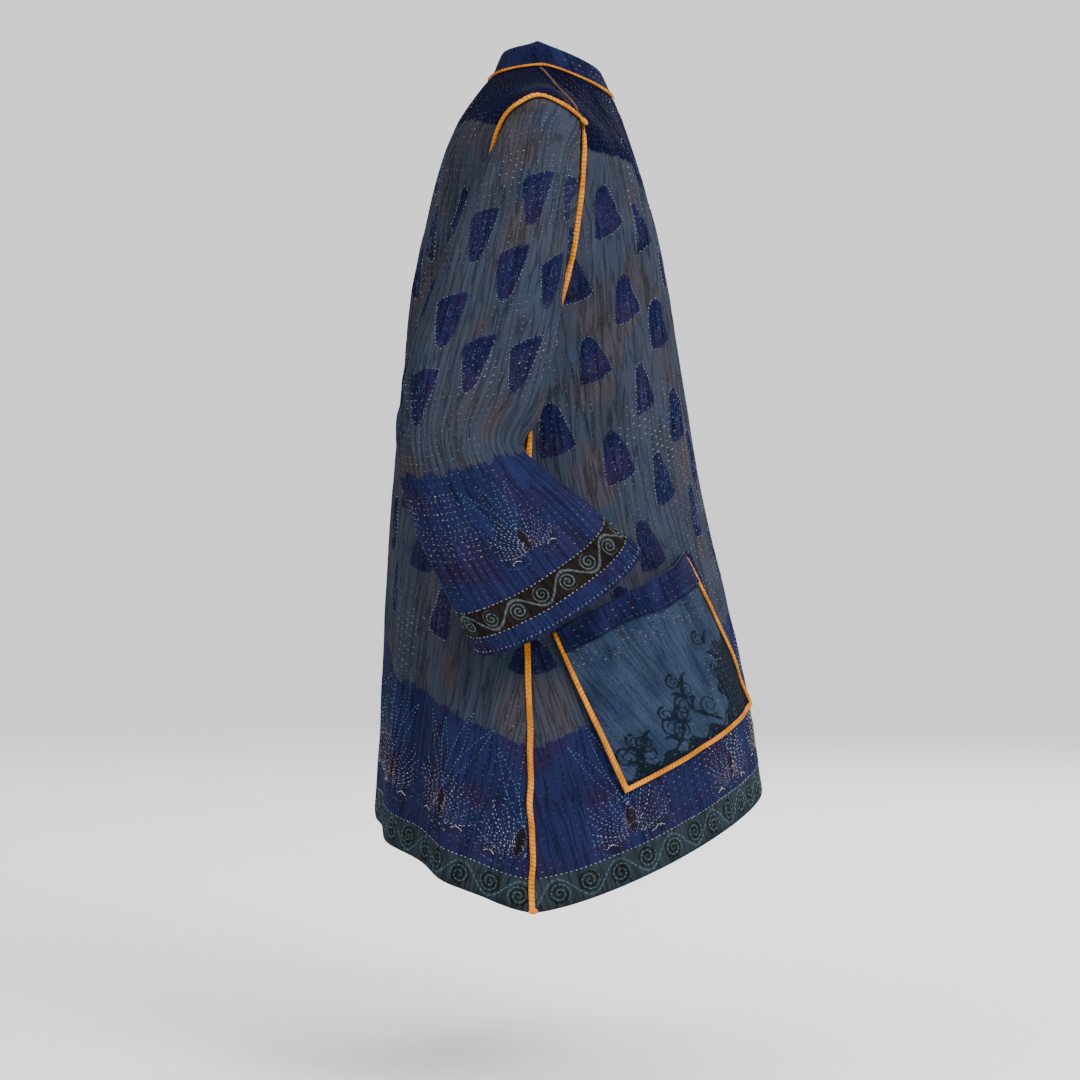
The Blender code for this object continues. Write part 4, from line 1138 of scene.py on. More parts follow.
def close_rows(box, pitch, threads, seed, slope=0.0):
    """Close rows of short stitches in a box of flat metres, with gaps, in a few thread colours."""
    left, right, low, high = box
    random = np.random.default_rng(seed)
    up, across = [values.ravel() for values in np.meshgrid(
        np.arange(low, high, pitch[1]), np.arange(left, right, pitch[0]), indexing="ij")]
    size = len(up)
    offset = np.floor((up - low) / pitch[1] + 0.5) * 0.4 * pitch[0]
    across = left + (across - left + offset) % (right - left) + random.uniform(-0.0006, 0.0006, size)
    up = up + slope * (across - left) + random.uniform(-0.0004, 0.0004, size)
    kept = (noise(across, up, 0.014, seed) > -0.45) & (random.uniform(0, 1, size) > 0.12)
    colour = np.array([THREADS[name] for name in threads])[random.integers(0, len(threads), size)]
    way = unit(np.stack([np.ones(size), slope + random.uniform(-0.2, 0.2, size)], axis=1))
    return Dashes(np.stack([across, up], axis=1)[kept], way[kept],
                  random.uniform(0.0012, 0.0020, size)[kept],
                  np.full(size, 0.00045)[kept], (colour * random.uniform(0.6, 1.1, (size, 1)))[kept])


# Motifs in flat metres

def leaf_half_width(share):
    """Half width of a leaf shape from its broad foot, share 0, to its blunt tip, share 1."""
    foot = np.sqrt(1 - (1 - np.clip(share / LEAF_FOOT, 0, 1)) ** 2)
    tip = np.sqrt(1 - np.clip((share - LEAF_TIP) / LEAF_TIP_LENGTH, 0, 1) ** 2)
    return 0.5 * LEAF_WIDTH * (1 - LEAF_TAPER * share ** TAPER_POWER) * foot * tip


def leaf_outline(centre, leaves):
    """Closed flat outline of a leaf shape, sheared by its slant."""
    share = np.concatenate([np.linspace(0.0, 1, 30), np.linspace(1, 0.0, 30)[1:]])
    sign = np.concatenate([np.ones(30), -np.ones(29)])
    x = leaf_half_width(share) * sign
    y = (share - 0.5) * LEAF_HEIGHT * leaves.upright
    return np.stack([centre[0] + x + leaves.slant * y, centre[1] + y], axis=1)


def leaf_centres(extent, leaves):
    """Centres of a repeat of leaning columns, each second one half a step higher."""
    columns = np.arange(-4, int(extent[0] / leaves.across) + 2)
    rows = np.arange(-1, int(extent[1] / leaves.up) + 2)
    column, row = [values.ravel() for values in np.meshgrid(columns, rows)]
    first, second, third, fourth = LEAF_WAVES
    across = column * leaves.across + LEAF_WOBBLE * np.sin(first * column + second * row)
    up = (row + column % 2 * leaves.shift) * leaves.up
    up = up + LEAF_WOBBLE * np.cos(third * column + fourth * row) + leaves.rise
    across = across + leaves.first + leaves.lean * up
    kept = (up > leaves.lowest) & (up < leaves.highest) & (across > -0.02) & (across < extent[0] + 0.02)
    return np.stack([across, up], axis=1)[kept]


def oval_marks(flat, ovals):
    """Inside distance of tilted ovals: centre, half length, half width, tilt in degrees, most distance."""
    best = np.full(flat.shape[:2], -0.05)
    for x, y, half_length, half_width, tilt, most in ovals:
        turn = np.radians(tilt)
        along = (flat[..., 0] - x) * np.cos(turn) + (flat[..., 1] - y) * np.sin(turn)
        aside = -(flat[..., 0] - x) * np.sin(turn) + (flat[..., 1] - y) * np.cos(turn)
        near = np.hypot(along / half_length, aside / half_width)
        best = np.maximum(best, np.minimum((1 - near) * half_width, most))
    return best


def sprig(centre, size):
    """Dashes of a sprig: a pointed seed, tall narrow loops over it, fans at its sides, two low leaves."""
    x0, y0 = centre
    random = np.random.default_rng(SPRIG_SEED + int(1e4 * x0))
    white, pink, teal, slate = [THREADS[name] for name in ("white", "pink", "teal", "slate")]
    angle = np.linspace(0, 2 * np.pi, 24)
    seed_x = 0.065 * size * np.sin(angle) * np.abs(np.sin(angle))
    outline = np.stack([x0 + seed_x, y0 + 0.16 * size * np.cos(angle)], axis=1)
    parts = [along_curve(outline, 0.0030, 0.0026, 0.0008, pink)]
    t = np.linspace(0, 1, 16)
    for number, lean in enumerate(np.radians([-31, -11, 12, 29])):
        length = size * random.uniform(0.62, 0.90)
        for side in (-1, 1):
            aside = side * 0.050 * size * np.sin(np.pi * t)
            x = x0 + np.sin(lean) * length * t + np.cos(lean) * aside
            y = y0 + 0.14 * size + np.cos(lean) * length * t - np.sin(lean) * aside
            parts.append(along_curve(np.stack([x, y], axis=1), 0.0038, 0.0027, 0.0007,
                                     teal * 1.3, SPRIG_SEED + number))
    for side in (-1, 1):
        for number, lean in enumerate(np.radians(np.arange(20, 104, 8.0))):
            reach = size * (0.60 - 0.20 * abs(lean - 0.9)) * random.uniform(0.75, 1.05)
            bend = side * lean * (1.12 - 0.24 * t)
            x = x0 + np.sin(bend) * reach * (0.14 + 0.86 * t)
            y = y0 - 0.12 * size + np.cos(bend) * reach * (0.14 + 0.86 * t)
            thread = (white if random.uniform() < 0.55 else pink) * random.uniform(0.4, 1.1)
            parts.append(along_curve(np.stack([x, y], axis=1), 0.0041, 0.0029, 0.0009,
                                     thread, SPRIG_SEED + number))
        middle = np.array([x0 + side * 0.27 * size, y0 - 0.20 * size])
        t2 = np.linspace(-1, 1, 9)
        crescent = np.stack([middle[0] + 0.06 * size * t2, middle[1] + 0.03 * size * (1 - t2 * t2)], axis=1)
        parts.append(along_curve(crescent, 0.0018, 0.0022, 0.0011, white * 1.3, SPRIG_SEED))
        turn = np.radians(20 * side)
        loop_x = 0.18 * size * np.cos(angle)
        loop_y = 0.085 * size * np.sin(angle)
        leaf = np.stack([middle[0] + loop_x * np.cos(turn) - loop_y * np.sin(turn),
                         middle[1] + 0.02 * size + loop_x * np.sin(turn) + loop_y * np.cos(turn)], axis=1)
        parts.append(along_curve(leaf, 0.0038, 0.0026, 0.0007, slate * 2.0, SPRIG_SEED))
    return join_dashes(parts)


def sprig_patches(centre, size):
    """Dark ovals of a sprig: its seed and the two leaves at its foot."""
    x0, y0 = centre
    return [(x0, y0, 0.15 * size, 0.050 * size, 90, 0.01),
            (x0 - 0.27 * size, y0 - 0.18 * size, 0.17 * size, 0.075 * size, 160, -0.0001),
            (x0 + 0.27 * size, y0 - 0.18 * size, 0.17 * size, 0.075 * size, 20, -0.0001)]


def scroll_stitches(width, low, high, repeat):
    """Dashes on the border's vine and coils, and the pale rows along its edges."""
    middle = 0.5 * (low + high)
    reach = 0.5 * (high - low) - BORDER_MARGIN
    t = np.arange(0, width, 0.002)
    parts = [along_curve(np.stack([t, middle + reach * np.sin(2 * np.pi * t / repeat)], axis=1),
                         0.0046, 0.0032, 0.0009, THREADS["teal"])]
    turn = np.linspace(0.15, 1.55, 26)
    for number, across in enumerate(np.arange(0.25 * repeat, width, 0.5 * repeat)):
        parity = 1 if number % 2 == 0 else -1
        radius = SPIRAL_PITCH * reach * (turn + 0.5)
        angle = 2 * np.pi * turn * parity
        coil = np.stack([across + radius * np.cos(angle),
                         middle + COIL_OFFSET * reach * parity + radius * np.sin(angle)], axis=1)
        parts.append(along_curve(coil, 0.0042, 0.0029, 0.0008, THREADS["teal"], number))
    for edge in (low, high):
        if edge > 0.001:
            line = np.stack([t, np.full_like(t, edge) + 0.0003 * np.sin(90 * t)], axis=1)
            parts.append(along_curve(line, 0.0044, 0.0031, 0.0009, THREADS["white"]))
    return join_dashes(parts)


def whip_stitches(width):
    """Slanting pale stitches over the cloth's lower edge."""
    across = np.arange(0.002, width, 0.0042)
    size = len(across)
    random = np.random.default_rng(size)
    way = unit(np.stack([random.uniform(0.3, 0.9, size), np.ones(size)], axis=1))
    thread = THREADS["white"] * random.uniform(0.25, 0.8, (size, 1))
    return Dashes(np.stack([across, np.full(size, 0.0036)], axis=1), way, np.full(size, 0.0017),
                  np.full(size, 0.0004), thread)


# Pieces

def fine_panel(rows, start_angle):
    """Fine grid of a half panel, its normals and the new numbers of its table rows."""
    hem = panel_grid(rows[-1:], start_angle, 241, 21)
    length = lengths_along(hem[0])[-1]
    count = 2 * int(round(length / SOLID_PITCH)) * FINER + 1
    grid, starts = refined(panel_grid(rows, start_angle, count, SEAM_COLUMNS + 1), ROW_STEP)
    return grid, outward(grid), starts


def share_seams(front, front_starts, front_normals, back, back_starts, back_normals):
    """Give both panels the same normals where they are sewn together."""
    on_seam = slice(-SEAM_COLUMNS - 1, None)
    shared = unit(front_normals[0, on_seam] + back_normals[0, on_seam])
    shared[-3 * FINER:] = unit(front_normals[8, -1] + back_normals[8, -1] + shared[-3 * FINER - 1])
    front_normals[0, on_seam] = shared
    back_normals[0, on_seam] = shared
    first = front_starts[FRONT_UNDERARM_ROW]
    second = back_starts[BACK_UNDERARM_ROW]
    places = np.linspace(0, 1, len(front) - first)
    other = np.linspace(0, 1, len(back) - second)
    shared = unit(front_normals[first:, -1] + along_line(places, other, back_normals[second:, -1]))
    front_normals[first:, -1] = shared
    back_normals[second:, -1] = along_line(other, places, shared)


def loop_points(loop, forward, over):
    """Points of one loop: shares forward and over, from -1 to 1, times the loop's reaches."""
    swing = np.radians(loop.swing)
    ahead = np.array([0, -np.cos(swing), np.sin(swing)])
    up = np.array([0, np.sin(swing), np.cos(swing)])
    top = np.array([-loop.over_out, loop.mid_y, loop.mid_z]) + up * loop.over_rise
    low = np.array([-loop.under_out, loop.mid_y, loop.mid_z]) - up * loop.under_drop
    centre = 0.5 * (top + low)
    flat_centre = np.array([centre[0], loop.mid_y, loop.mid_z])
    mix = np.abs(over)[:, None]
    return (centre * mix + flat_centre * (1 - mix) + forward[:, None] * ahead * loop.across
            + over[:, None] * 0.5 * (top - low))


def armhole_line(front, front_normals, front_end, back, back_normals, back_end):
    """Closed edge of the armhole with the body's normals and the direction into the hole."""
    edge = np.concatenate([front[:front_end + 1, -1], back[1:back_end, -1][::-1]])
    normals = np.concatenate([front_normals[:front_end + 1, -1], back_normals[1:back_end, -1][::-1]])
    along = np.roll(edge, -1, axis=0) - np.roll(edge, 1, axis=0)
    into_hole = unit(np.cross(normals, unit(along)))
    facing = np.sum(into_hole * (edge.mean(axis=0) - edge), axis=1, keepdims=True)
    return edge, normals, into_hole * np.sign(facing)


def sleeve_surface(edge, normals, into_hole, under_index):
    """Sleeve grid from the armhole's edge through rounded loops to the cuff."""
    run = lengths_along(np.concatenate([edge, edge[:1]]))
    places = np.linspace(0, run[-1], SLEEVE_COLUMNS, endpoint=False)

    def closed_at(values):
        return along_line(places, run, np.concatenate([values, values[:1]]))
    root = closed_at(edge) + unit(closed_at(into_hole)) * SEAM_GAP
    root_normals = unit(closed_at(normals))
    share = places / run[-1]
    under_share = run[under_index] / run[-1]
    before = 55 - 145 * share / under_share
    after = -90 - 215 * (share - under_share) / (1 - under_share)
    turn = np.radians(np.where(share < under_share, before, after))
    forward = np.sign(np.cos(turn)) * np.abs(np.cos(turn)) ** (2 / SLEEVE_ROUNDNESS)
    over = np.sign(np.sin(turn)) * np.abs(np.sin(turn)) ** (2 / SLEEVE_ROUNDNESS)
    own_outline = root - loop_points(ARMHOLE_LOOP, forward, over)
    grid = [root]
    for loop, kept in zip(SLEEVE_LOOPS, OUTLINE_KEPT):
        grid.append(loop_points(loop, forward, over) + own_outline * kept)
    grid, starts = refined(np.array(grid), ROW_STEP)
    near_end = smooth((np.arange(len(grid)) - len(grid) + 1 + DROOP_REACH / ROW_STEP)
                      * ROW_STEP / DROOP_REACH)
    outer = np.clip(over, 0, 1) ** 1.2
    onward = unit((grid[-1] - grid[-6]).mean(axis=0))
    grid = grid + CUFF_DROOP * near_end[:, None, None] * outer[None, :, None] * onward
    found = grid_normals(grid, closed=True)
    inside = grid.mean(axis=1, keepdims=True)
    facing = np.sum(found[starts[4]:] * (grid - inside)[starts[4]:], axis=-1).mean()
    found = found * np.sign(facing)
    blend = smooth(np.arange(len(grid)) / 4.0)[:, None, None]
    found = unit(root_normals[None] * (1 - blend) + found * blend)
    back_by = int(round(under_share * SLEEVE_COLUMNS))
    return np.roll(grid, -back_by, axis=1), np.roll(found, -back_by, axis=1), back_by / SLEEVE_COLUMNS


def neck_line(front, back, columns):
    """Neck edge from the right front edge round the back to the left one, with its run-on."""
    halves = []
    front_part = slice(0, front.shape[1] - SEAM_COLUMNS)
    back_part = slice(0, back.shape[1] - SEAM_COLUMNS)
    edges = (front[0, front_part], back[0, back_part])
    leads = (unit(front[0, front_part] - front[1, front_part]),
             unit(back[0, back_part] - back[1, back_part]))
    for values in (edges, leads):
        half = np.concatenate([values[0], values[1][::-1][1:]])
        halves.append(np.concatenate([half, mirrored(half)[::-1][1:]]))
    run = lengths_along(halves[0])
    places = np.linspace(0, run[-1], columns)
    path, way = [along_line(places, run, values) for values in halves]
    return path, unit(way)


def softened(vectors, reach):
    """Mean of unit vectors over some neighbours on both sides along a line."""
    padded = np.concatenate([vectors[:1].repeat(reach, axis=0), vectors,
                             vectors[-1:].repeat(reach, axis=0)])
    share = np.hanning(2 * reach + 3)[1:-1]
    return unit(np.stack([np.convolve(padded[:, axis], share, "valid") for axis in range(3)], axis=1))


def collar_surface(path, lead):
    """Standing collar that runs on from the neck edge and leans in toward the neck."""
    level_lead = unit(lead * np.array([1.0, 1.0, 0.0]))
    rise = softened(unit(level_lead * COLLAR_LEAN + np.array([0, 0, 1.0])), 16)
    turned = unit(softened(lead, 8) + rise)
    rows = [path + lead * SEAM_GAP]
    rows.append(rows[0] + turned * 0.2 * COLLAR_HEIGHT)
    rows.append(rows[1] + rise * 0.4 * COLLAR_HEIGHT)
    rows.append(rows[2] + rise * 0.4 * COLLAR_HEIGHT)
    return refined(np.array(rows)[::-1], 0.0022)[0]


def pocket_surface(front, normals, starts, across, down, lift):
    """Pocket point for shares across (front to side) and down, moved out at the open top."""
    row = ((POCKET_TOP_FRONT.row * (1 - across) + POCKET_TOP_SIDE.row * across) * (1 - down)
           + (POCKET_LOW_FRONT.row * (1 - across) + POCKET_LOW_SIDE.row * across) * down)
    row = np.interp(row, np.arange(len(starts)), starts)
    share = ((POCKET_TOP_FRONT.share * (1 - across) + POCKET_TOP_SIDE.share * across) * (1 - down)
             + (POCKET_LOW_FRONT.share * (1 - across) + POCKET_LOW_SIDE.share * across) * down)
    column = share * (front.shape[1] - 1)
    bulge = POCKET_BULGE * np.sin(np.pi * across) ** 1.3 * np.clip(1 - down, 0, 1) ** 1.5
    return on_grid(front, row, column) + unit(on_grid(normals, row, column)) * (lift + bulge)[..., None]


BAND_PROFILE = [(-0.5, 0.0), (-0.49, 0.45), (-0.40, 0.80), (-0.20, 1.0), (0.20, 1.0), (0.40, 0.80),
                (0.49, 0.45), (0.5, 0.0)]


def add_band(name, at, width, thick, lift, material, replaced, flip, closed=False):
    """Folded band: a rounded section laid along a line, puckered a little.

    The function at() gives points and normals at a distance off the band's middle line.
    """
    middle, _ = at(0.0)
    run = lengths_along(np.concatenate([middle, middle[:1]]) if closed else middle)[:len(middle)]
    pucker = 1 + 0.14 * np.sin(2 * np.pi * run / 0.0056) + 0.16 * noise(run, 0 * run, 0.014, 21)
    if not closed:
        ends = np.minimum(run, run[-1] - run)
        pucker = pucker * (0.35 + 0.65 * smooth(ends / 0.004))
    lines = []
    for share, height in BAND_PROFILE:
        points, normals = at(share * width)
        lines.append(points + normals * (lift + height * thick * pucker)[:, None])
    lines = np.array(lines).transpose(1, 0, 2)
    rows, corners = lines.shape[:2]
    faces = wrapped_faces(rows, corners, closed)
    groups = [faces]
    if not closed:
        end = np.arange(corners)[None, :]
        groups = [faces, end[:, ::-1], end + (rows - 1) * corners]
    groups = facing_out(groups, lines.reshape(-1, 3)[faces[4]], at(0.0)[1][0], flip)
    piece = new_object(name, flip(lines.reshape(-1, 3)), groups, material)
    aside = np.array([share for share, _ in BAND_PROFILE]) * width
    flat = np.stack([np.broadcast_to(aside, (rows, corners)),
                     np.broadcast_to(run[:, None], (rows, corners))], axis=-1)
    add_flat_map(piece, flat)
    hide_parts(replaced)
    return piece, lines, run


def add_ticks(name, lines, run, material, flip):
    """Slanting stitches over a band: each a thin bent bar of three sides that follows its section."""
    places = np.arange(0.004, run[-1] - 0.003, TICK_PITCH)
    random = np.random.default_rng(len(places))
    places = places + random.uniform(-0.0004, 0.0004, len(places))
    slant = random.uniform(-0.0002, 0.0008, len(places))
    sections = []
    for corner in range(1, 7):
        spots = places + slant * ((corner - 1) / 2.5 - 1)
        here = along_line(spots, run, lines[:, corner])
        along = unit(along_line(spots + 0.0008, run, lines[:, corner]) - here)
        out = unit(here - along_line(spots, run, 0.5 * (lines[:, 0] + lines[:, 7])))
        size = 0.5 if corner in (1, 6) else 1.0
        sections.append(np.stack([here + along * TICK_HALF_WIDTH * size, here + out * TICK_HEIGHT * size,
                                  here - along * TICK_HALF_WIDTH * size], axis=1))
    points = np.stack(sections, axis=1)
    count = len(places)
    quads = wrapped_faces(len(sections), 3)
    start = np.arange(count)[:, None, None] * 18
    ends = np.array([[2, 1, 0], [15, 16, 17]])
    groups = [(start + quads[None]).reshape(-1, 4), (start + ends[None]).reshape(-1, 3)]
    first = points[0].reshape(-1, 3)
    quad = first[quads[0]]
    groups = facing_out(groups, quad, quad.mean(axis=0) - first.mean(axis=0), flip)
    piece = new_object(name, flip(points.reshape(-1, 3)), groups, material)
    shade = random.uniform(0.5, 1.1, (count, 1))
    add_colours(piece, np.repeat(THREADS["amber"] * shade, 18, axis=0))
    return piece


def bound_edge(name, at, width, cloths, flip, closed=False):
    """A band with its stitches, a folded strip of cloth."""
    orange, thread = cloths
    piece, lines, run = add_band(name, at, width, BAND_LEAST + BAND_RISE * width, BAND_LIFT,
                                 orange, name, flip, closed)
    ticks = add_ticks(name + "_stitches", lines, run, thread, flip)


def add_knot(name, centre, along, normal, size, material, flip):
    """Small knot of folded binding: a rounded lump, longer along one way, with a crease round it."""
    sides, rings = 20, 14
    turn, rise = np.meshgrid(np.linspace(0, 2 * np.pi, sides, endpoint=False),
                             np.linspace(0.12, np.pi - 0.12, rings))
    other = np.cross(normal, along)
    dent = 1 - 0.16 * np.exp(-((rise - 1.9) / 0.16) ** 2) + 0.08 * np.sin(3 * turn + 2 * rise)
    points = (centre + size * np.cos(rise)[..., None] * along
              + (0.62 * size * np.sin(rise) * np.cos(turn) * dent)[..., None] * other
              + (0.43 * size * np.sin(rise) * np.sin(turn) * dent)[..., None] * normal)
    faces = wrapped_faces(rings, sides)
    end = np.arange(sides)[None, :]
    groups = [faces, end[:, ::-1], end + (rings - 1) * sides]
    quad = points.reshape(-1, 3)[faces[sides * 6]]
    groups = facing_out(groups, quad, quad.mean(axis=0) - centre, flip)
    piece = new_object(name, flip(points.reshape(-1, 3)), groups, material)
    add_flat_map(piece, np.stack([0.004 * turn, 0.006 * rise], axis=-1))
    return piece


def beside_edge(grid, normals, rows):
    """Function giving the points of a panel at a distance in from its outer edge."""
    steps = np.linalg.norm(np.diff(grid, axis=1), axis=2)[:, -20:].mean(axis=1)
    step = np.interp(rows, np.arange(grid.shape[0]), steps)

    def at(distance):
        column = grid.shape[1] - 1 - distance / step
        return on_grid(grid, rows, column), unit(on_grid(normals, rows, column))
    return at


def below_edge(grid, normals, columns):
    """Function giving the points of a panel at a distance down from its top edge."""
    zero = np.zeros_like(columns)
    step = np.linalg.norm(on_grid(grid, zero + 2, columns) - on_grid(grid, zero, columns), axis=1) / 2

    def at(distance):
        row = distance / step
        return on_grid(grid, row, columns), unit(on_grid(normals, row, columns))
    return at


def across_seam(first, second):
    """Function of a signed distance: the first side where it is positive, else the second."""
    def at(distance):
        return first(distance) if distance >= 0 else second(-distance)
    return at


def curve_marks(flat, curves):
    """Inside distance of drawn curves: each a polyline and its half width from start to end."""
    best = np.full(flat.shape[:2], -0.05)
    for points, first, last in curves:
        for number, point in enumerate(points):
            half_width = first + (last - first) * number / (len(points) - 1)
            best = np.maximum(best, half_width - np.hypot(flat[..., 0] - point[0], flat[..., 1] - point[1]))
    return best


def print_curves(width):
    """Curves of the pocket's print: a branching scroll with coils and leaves, and a waved border."""
    t = np.linspace(0, 1, 40)
    across = np.linspace(0.0, width / PRINT_SCALE[0], 110)
    border = 0.0075 + 0.0030 * np.sin(2 * np.pi * across / 0.021) + 0.010 * np.exp(-(across / 0.035) ** 2)
    curves = [(np.stack([across, border], axis=1), 0.0010, 0.0010)]
    stems = [(0.046, 0.010, 0.034, 0.062, -0.010), (0.056, 0.010, 0.072, 0.044, 0.010),
             (0.108, 0.008, 0.090, 0.028, -0.008), (0.026, 0.014, 0.018, 0.050, 0.006),
             (0.128, 0.006, 0.118, 0.022, 0.004)]
    for x0, y0, x1, y1, sway in stems:
        x = x0 + (x1 - x0) * t + sway * np.sin(np.pi * t)
        y = y0 + (y1 - y0) * t
        curves.append((np.stack([x, y], axis=1), 0.0011, 0.0006))
        for number, share in enumerate((0.25, 0.5, 0.75, 1.0)):
            side = 1 if number % 2 else -1
            base = np.array([np.interp(share, t, x), np.interp(share, t, y)])
            radius = 0.0075 * (1.15 - 0.45 * share)
            turn = np.linspace(0, 1, 46)
            angle = side * (np.pi * 0.6 - 3.4 * np.pi * turn)
            size = radius * (1 - 0.82 * turn)
            middle = base + np.array([side * radius * 0.85, radius * 0.6])
            coil = middle + np.stack([size * np.cos(angle), size * np.sin(angle)], axis=1)
            curves.append((coil, 0.0009, 0.0004))
            leaf = base + np.stack([-side * 0.009 * t[::4],
                                    0.005 * t[::4] + 0.002 * np.sin(np.pi * t[::4])], axis=1)
            curves.append((leaf, 0.0019, 0.0005))
    return [(points * PRINT_SCALE, PRINT_WEIGHT * first, PRINT_WEIGHT * last)
            for points, first, last in curves]


def vine_marks(flat, width):
    """Inside distance of the pocket's print, with a dark corner and dark pools under the border."""
    best = curve_marks(flat, print_curves(width))
    across, up = flat[..., 0], flat[..., 1]
    corner = 0.052 - np.hypot(0.80 * across, up - 0.032) + 0.006 * np.sin(260 * across) * np.cos(230 * up)
    pools = 0.0100 - up + 0.0050 * np.sin(2 * np.pi * across / 0.033 + 0.6)
    return np.maximum(np.maximum(best, 0.5 * corner), 0.5 * pools)


def add_pocket(side, flip, front, normals, starts, cloths):
    """Patch pocket with its print, its turned-down band and its bound sides and bottom."""
    blue_print, navy, orange, thread = cloths
    across, down = np.meshgrid(np.linspace(0, 1, 181), np.linspace(0, 1, 121))
    grid = pocket_surface(front, normals, starts, across, down, np.full_like(across, 0.0040))
    out = outward(grid)
    cloth = cloth_of("pocket_cloth_" + side, "pocket", grid, out, 91, ridge_share=0.55)
    marks = {"print_line": vine_marks(cloth.flat, cloth.extent[0])}
    flipped = on_side(cloth, flip, cloth.name)
    piece = add_shell(flipped, blue_print, "pocket_" + side, marks)
    wide, high = cloth.extent
    top = high - POCKET_BAND_HEIGHT
    rows = join_dashes([
        running_rows(cloth, 93, ground_thread(9.0), 0.3, slope=0.1),
        close_rows((0.012, wide - 0.010, top - 0.034, top - 0.004), (0.0044, 0.0046),
                   ("dark", "dark", "pink"), 94),
        close_rows((0.45 * wide, wide - 0.010, 0.018, top - 0.038), (0.0050, 0.0062),
                   ("dark", "blue", "dark"), 98)])
    stitches = add_stitches("pocket_stitches_" + side, cloth, rows, thread, flip)
    declare(flipped, [stitches])

    last_row, last_column = grid.shape[0] - 1, grid.shape[1] - 1
    step_down = np.linalg.norm(np.diff(grid[:, 0], axis=0), axis=1).mean()
    step_across = np.linalg.norm(np.diff(grid[-1], axis=0), axis=1).mean()
    inset = (BINDING_WIDTH + 0.0012) / step_across
    columns, shares = np.meshgrid(np.linspace(inset, last_column - inset, 81), np.linspace(0, 1, 13))
    sag = 1 + 0.10 * np.sin(columns / last_column * 5.2 + 0.6) + 0.05 * np.sin(columns / last_column * 17)
    band_rows = shares * POCKET_BAND_HEIGHT * sag / step_down
    band_out = unit(on_grid(out, band_rows, columns))
    roll = 0.0012 * np.exp(-(shares / 0.12) ** 2) + 0.0010 * np.exp(-((shares - 1) / 0.10) ** 2)
    lift = 0.0034 + roll + 0.0007 * noise(columns * step_across, band_rows * step_down, 0.013, 95)
    band = on_grid(grid, band_rows, columns) + band_out * lift[..., None]
    band_cloth = cloth_of("pocket_band_cloth_" + side, "band", band, band_out, 96, ridge_share=0.35)
    flipped = on_side(band_cloth, flip, band_cloth.name)
    piece = add_shell(flipped, navy, "pocket_band_" + side, {})
    line = np.linspace(0.004, band_cloth.extent[0] - 0.004, 60)
    edge = [along_curve(np.stack([line, np.full_like(line, 0.0030)], axis=1), 0.0046, 0.0032, 0.0008,
                        THREADS["slate"])]
    edge.append(running_rows(band_cloth, 97, ground_thread(0.0), 0.4))
    stitches = add_stitches("band_stitches_" + side, band_cloth, join_dashes(edge),
                            thread, flip)
    declare(flipped, [stitches])

    side_run = np.linspace(0.002, 1, 60)
    low_run = np.linspace(0, 1, 66)

    def around(distance):
        inward = 0.5 * BINDING_WIDTH + 0.0002 + distance
        low = last_row - inward / step_down
        left = inward / step_across
        right = last_column - left
        rows = np.concatenate([side_run * low, np.full(64, low), side_run[::-1] * low])
        columns = np.concatenate([np.full(60, left), left + (right - left) * low_run[1:-1],
                                  np.full(60, right)])
        return on_grid(grid, rows, columns), unit(on_grid(out, rows, columns))
    bound_edge("binding_pocket_" + side, around, BINDING_WIDTH, (orange, thread), flip)


def zone_marks(cloth, yoke_line, dyed, patches):
    """Attributes of a piece: past the yoke's edge, past the dyed edge, and dark ovals."""
    return {"yoke": cloth.grid[..., 2] - yoke_line, "dyed": dyed,
            "dark_patch": oval_marks(cloth.flat, patches)}


def leaf_stitches(centres, leaves, seed):
    """Pale outline, a small oval eye and short veins for each leaf shape."""
    random = np.random.default_rng(seed)
    parts = []
    for centre in centres:
        pale = random.uniform(0.3, 1.0)
        thread = THREADS["teal"] * (1 - pale) + THREADS["white"] * pale * 0.8
        outline = leaf_outline(centre, leaves)
        pale_edge = along_curve(outline, 0.0038, 0.0030, 0.0007, thread, seed)
        round_it = np.linspace(0, 2 * np.pi, len(pale_edge.centre))
        shown = np.cos(round_it + random.uniform(0, 6.3)) > random.uniform(-0.9, 0.5)
        parts.append(Dashes(*[values[shown] for values in pale_edge]))
        rim = along_curve(centre + 0.97 * (outline - centre), 0.0046, 0.0030, 0.0007, THREADS["blue"], seed)
        inward = unit(centre - rim.centre)
        size = len(inward)
        parts.append(Dashes(rim.centre + inward * random.uniform(-0.0014, 0.0022, (size, 1)), inward,
                            random.uniform(0.0012, 0.0022, size), np.full(size, 0.00036),
                            THREADS["blue"] * random.uniform(0.4, 1.8, (size, 1))))
        t = np.linspace(0, 2 * np.pi, 14)
        eye = np.stack([centre[0] + 0.0030 * np.cos(t),
                        centre[1] - leaves.upright * 0.010 + 0.0055 * np.sin(t)], axis=1)
        parts.append(along_curve(eye, 0.0024, 0.0020, 0.0007, THREADS["slate"] * 1.6, seed))
        spots = random.uniform(-0.8, 0.8, (16, 2)) * np.array([0.30 * LEAF_WIDTH, 0.34 * LEAF_HEIGHT])
        way = unit(np.stack([0.4 * np.sign(spots[:, 0]), np.ones(16)], axis=1))
        parts.append(Dashes(centre + spots, way, np.full(16, 0.0018), np.full(16, 0.00035),
                            np.tile(THREADS["blue"] * 1.6, (16, 1))))
    return join_dashes(parts)


def ground_thread(dyed_height):
    """Thread colours close to the cloth's own: grey above the dyed edge, blue below it."""
    def colour(up):
        share = smooth((dyed_height - up) / 0.02)[:, None]
        return np.array([0.038, 0.046, 0.060]) * (1 - share) + np.array([0.028, 0.040, 0.105]) * share
    return colour


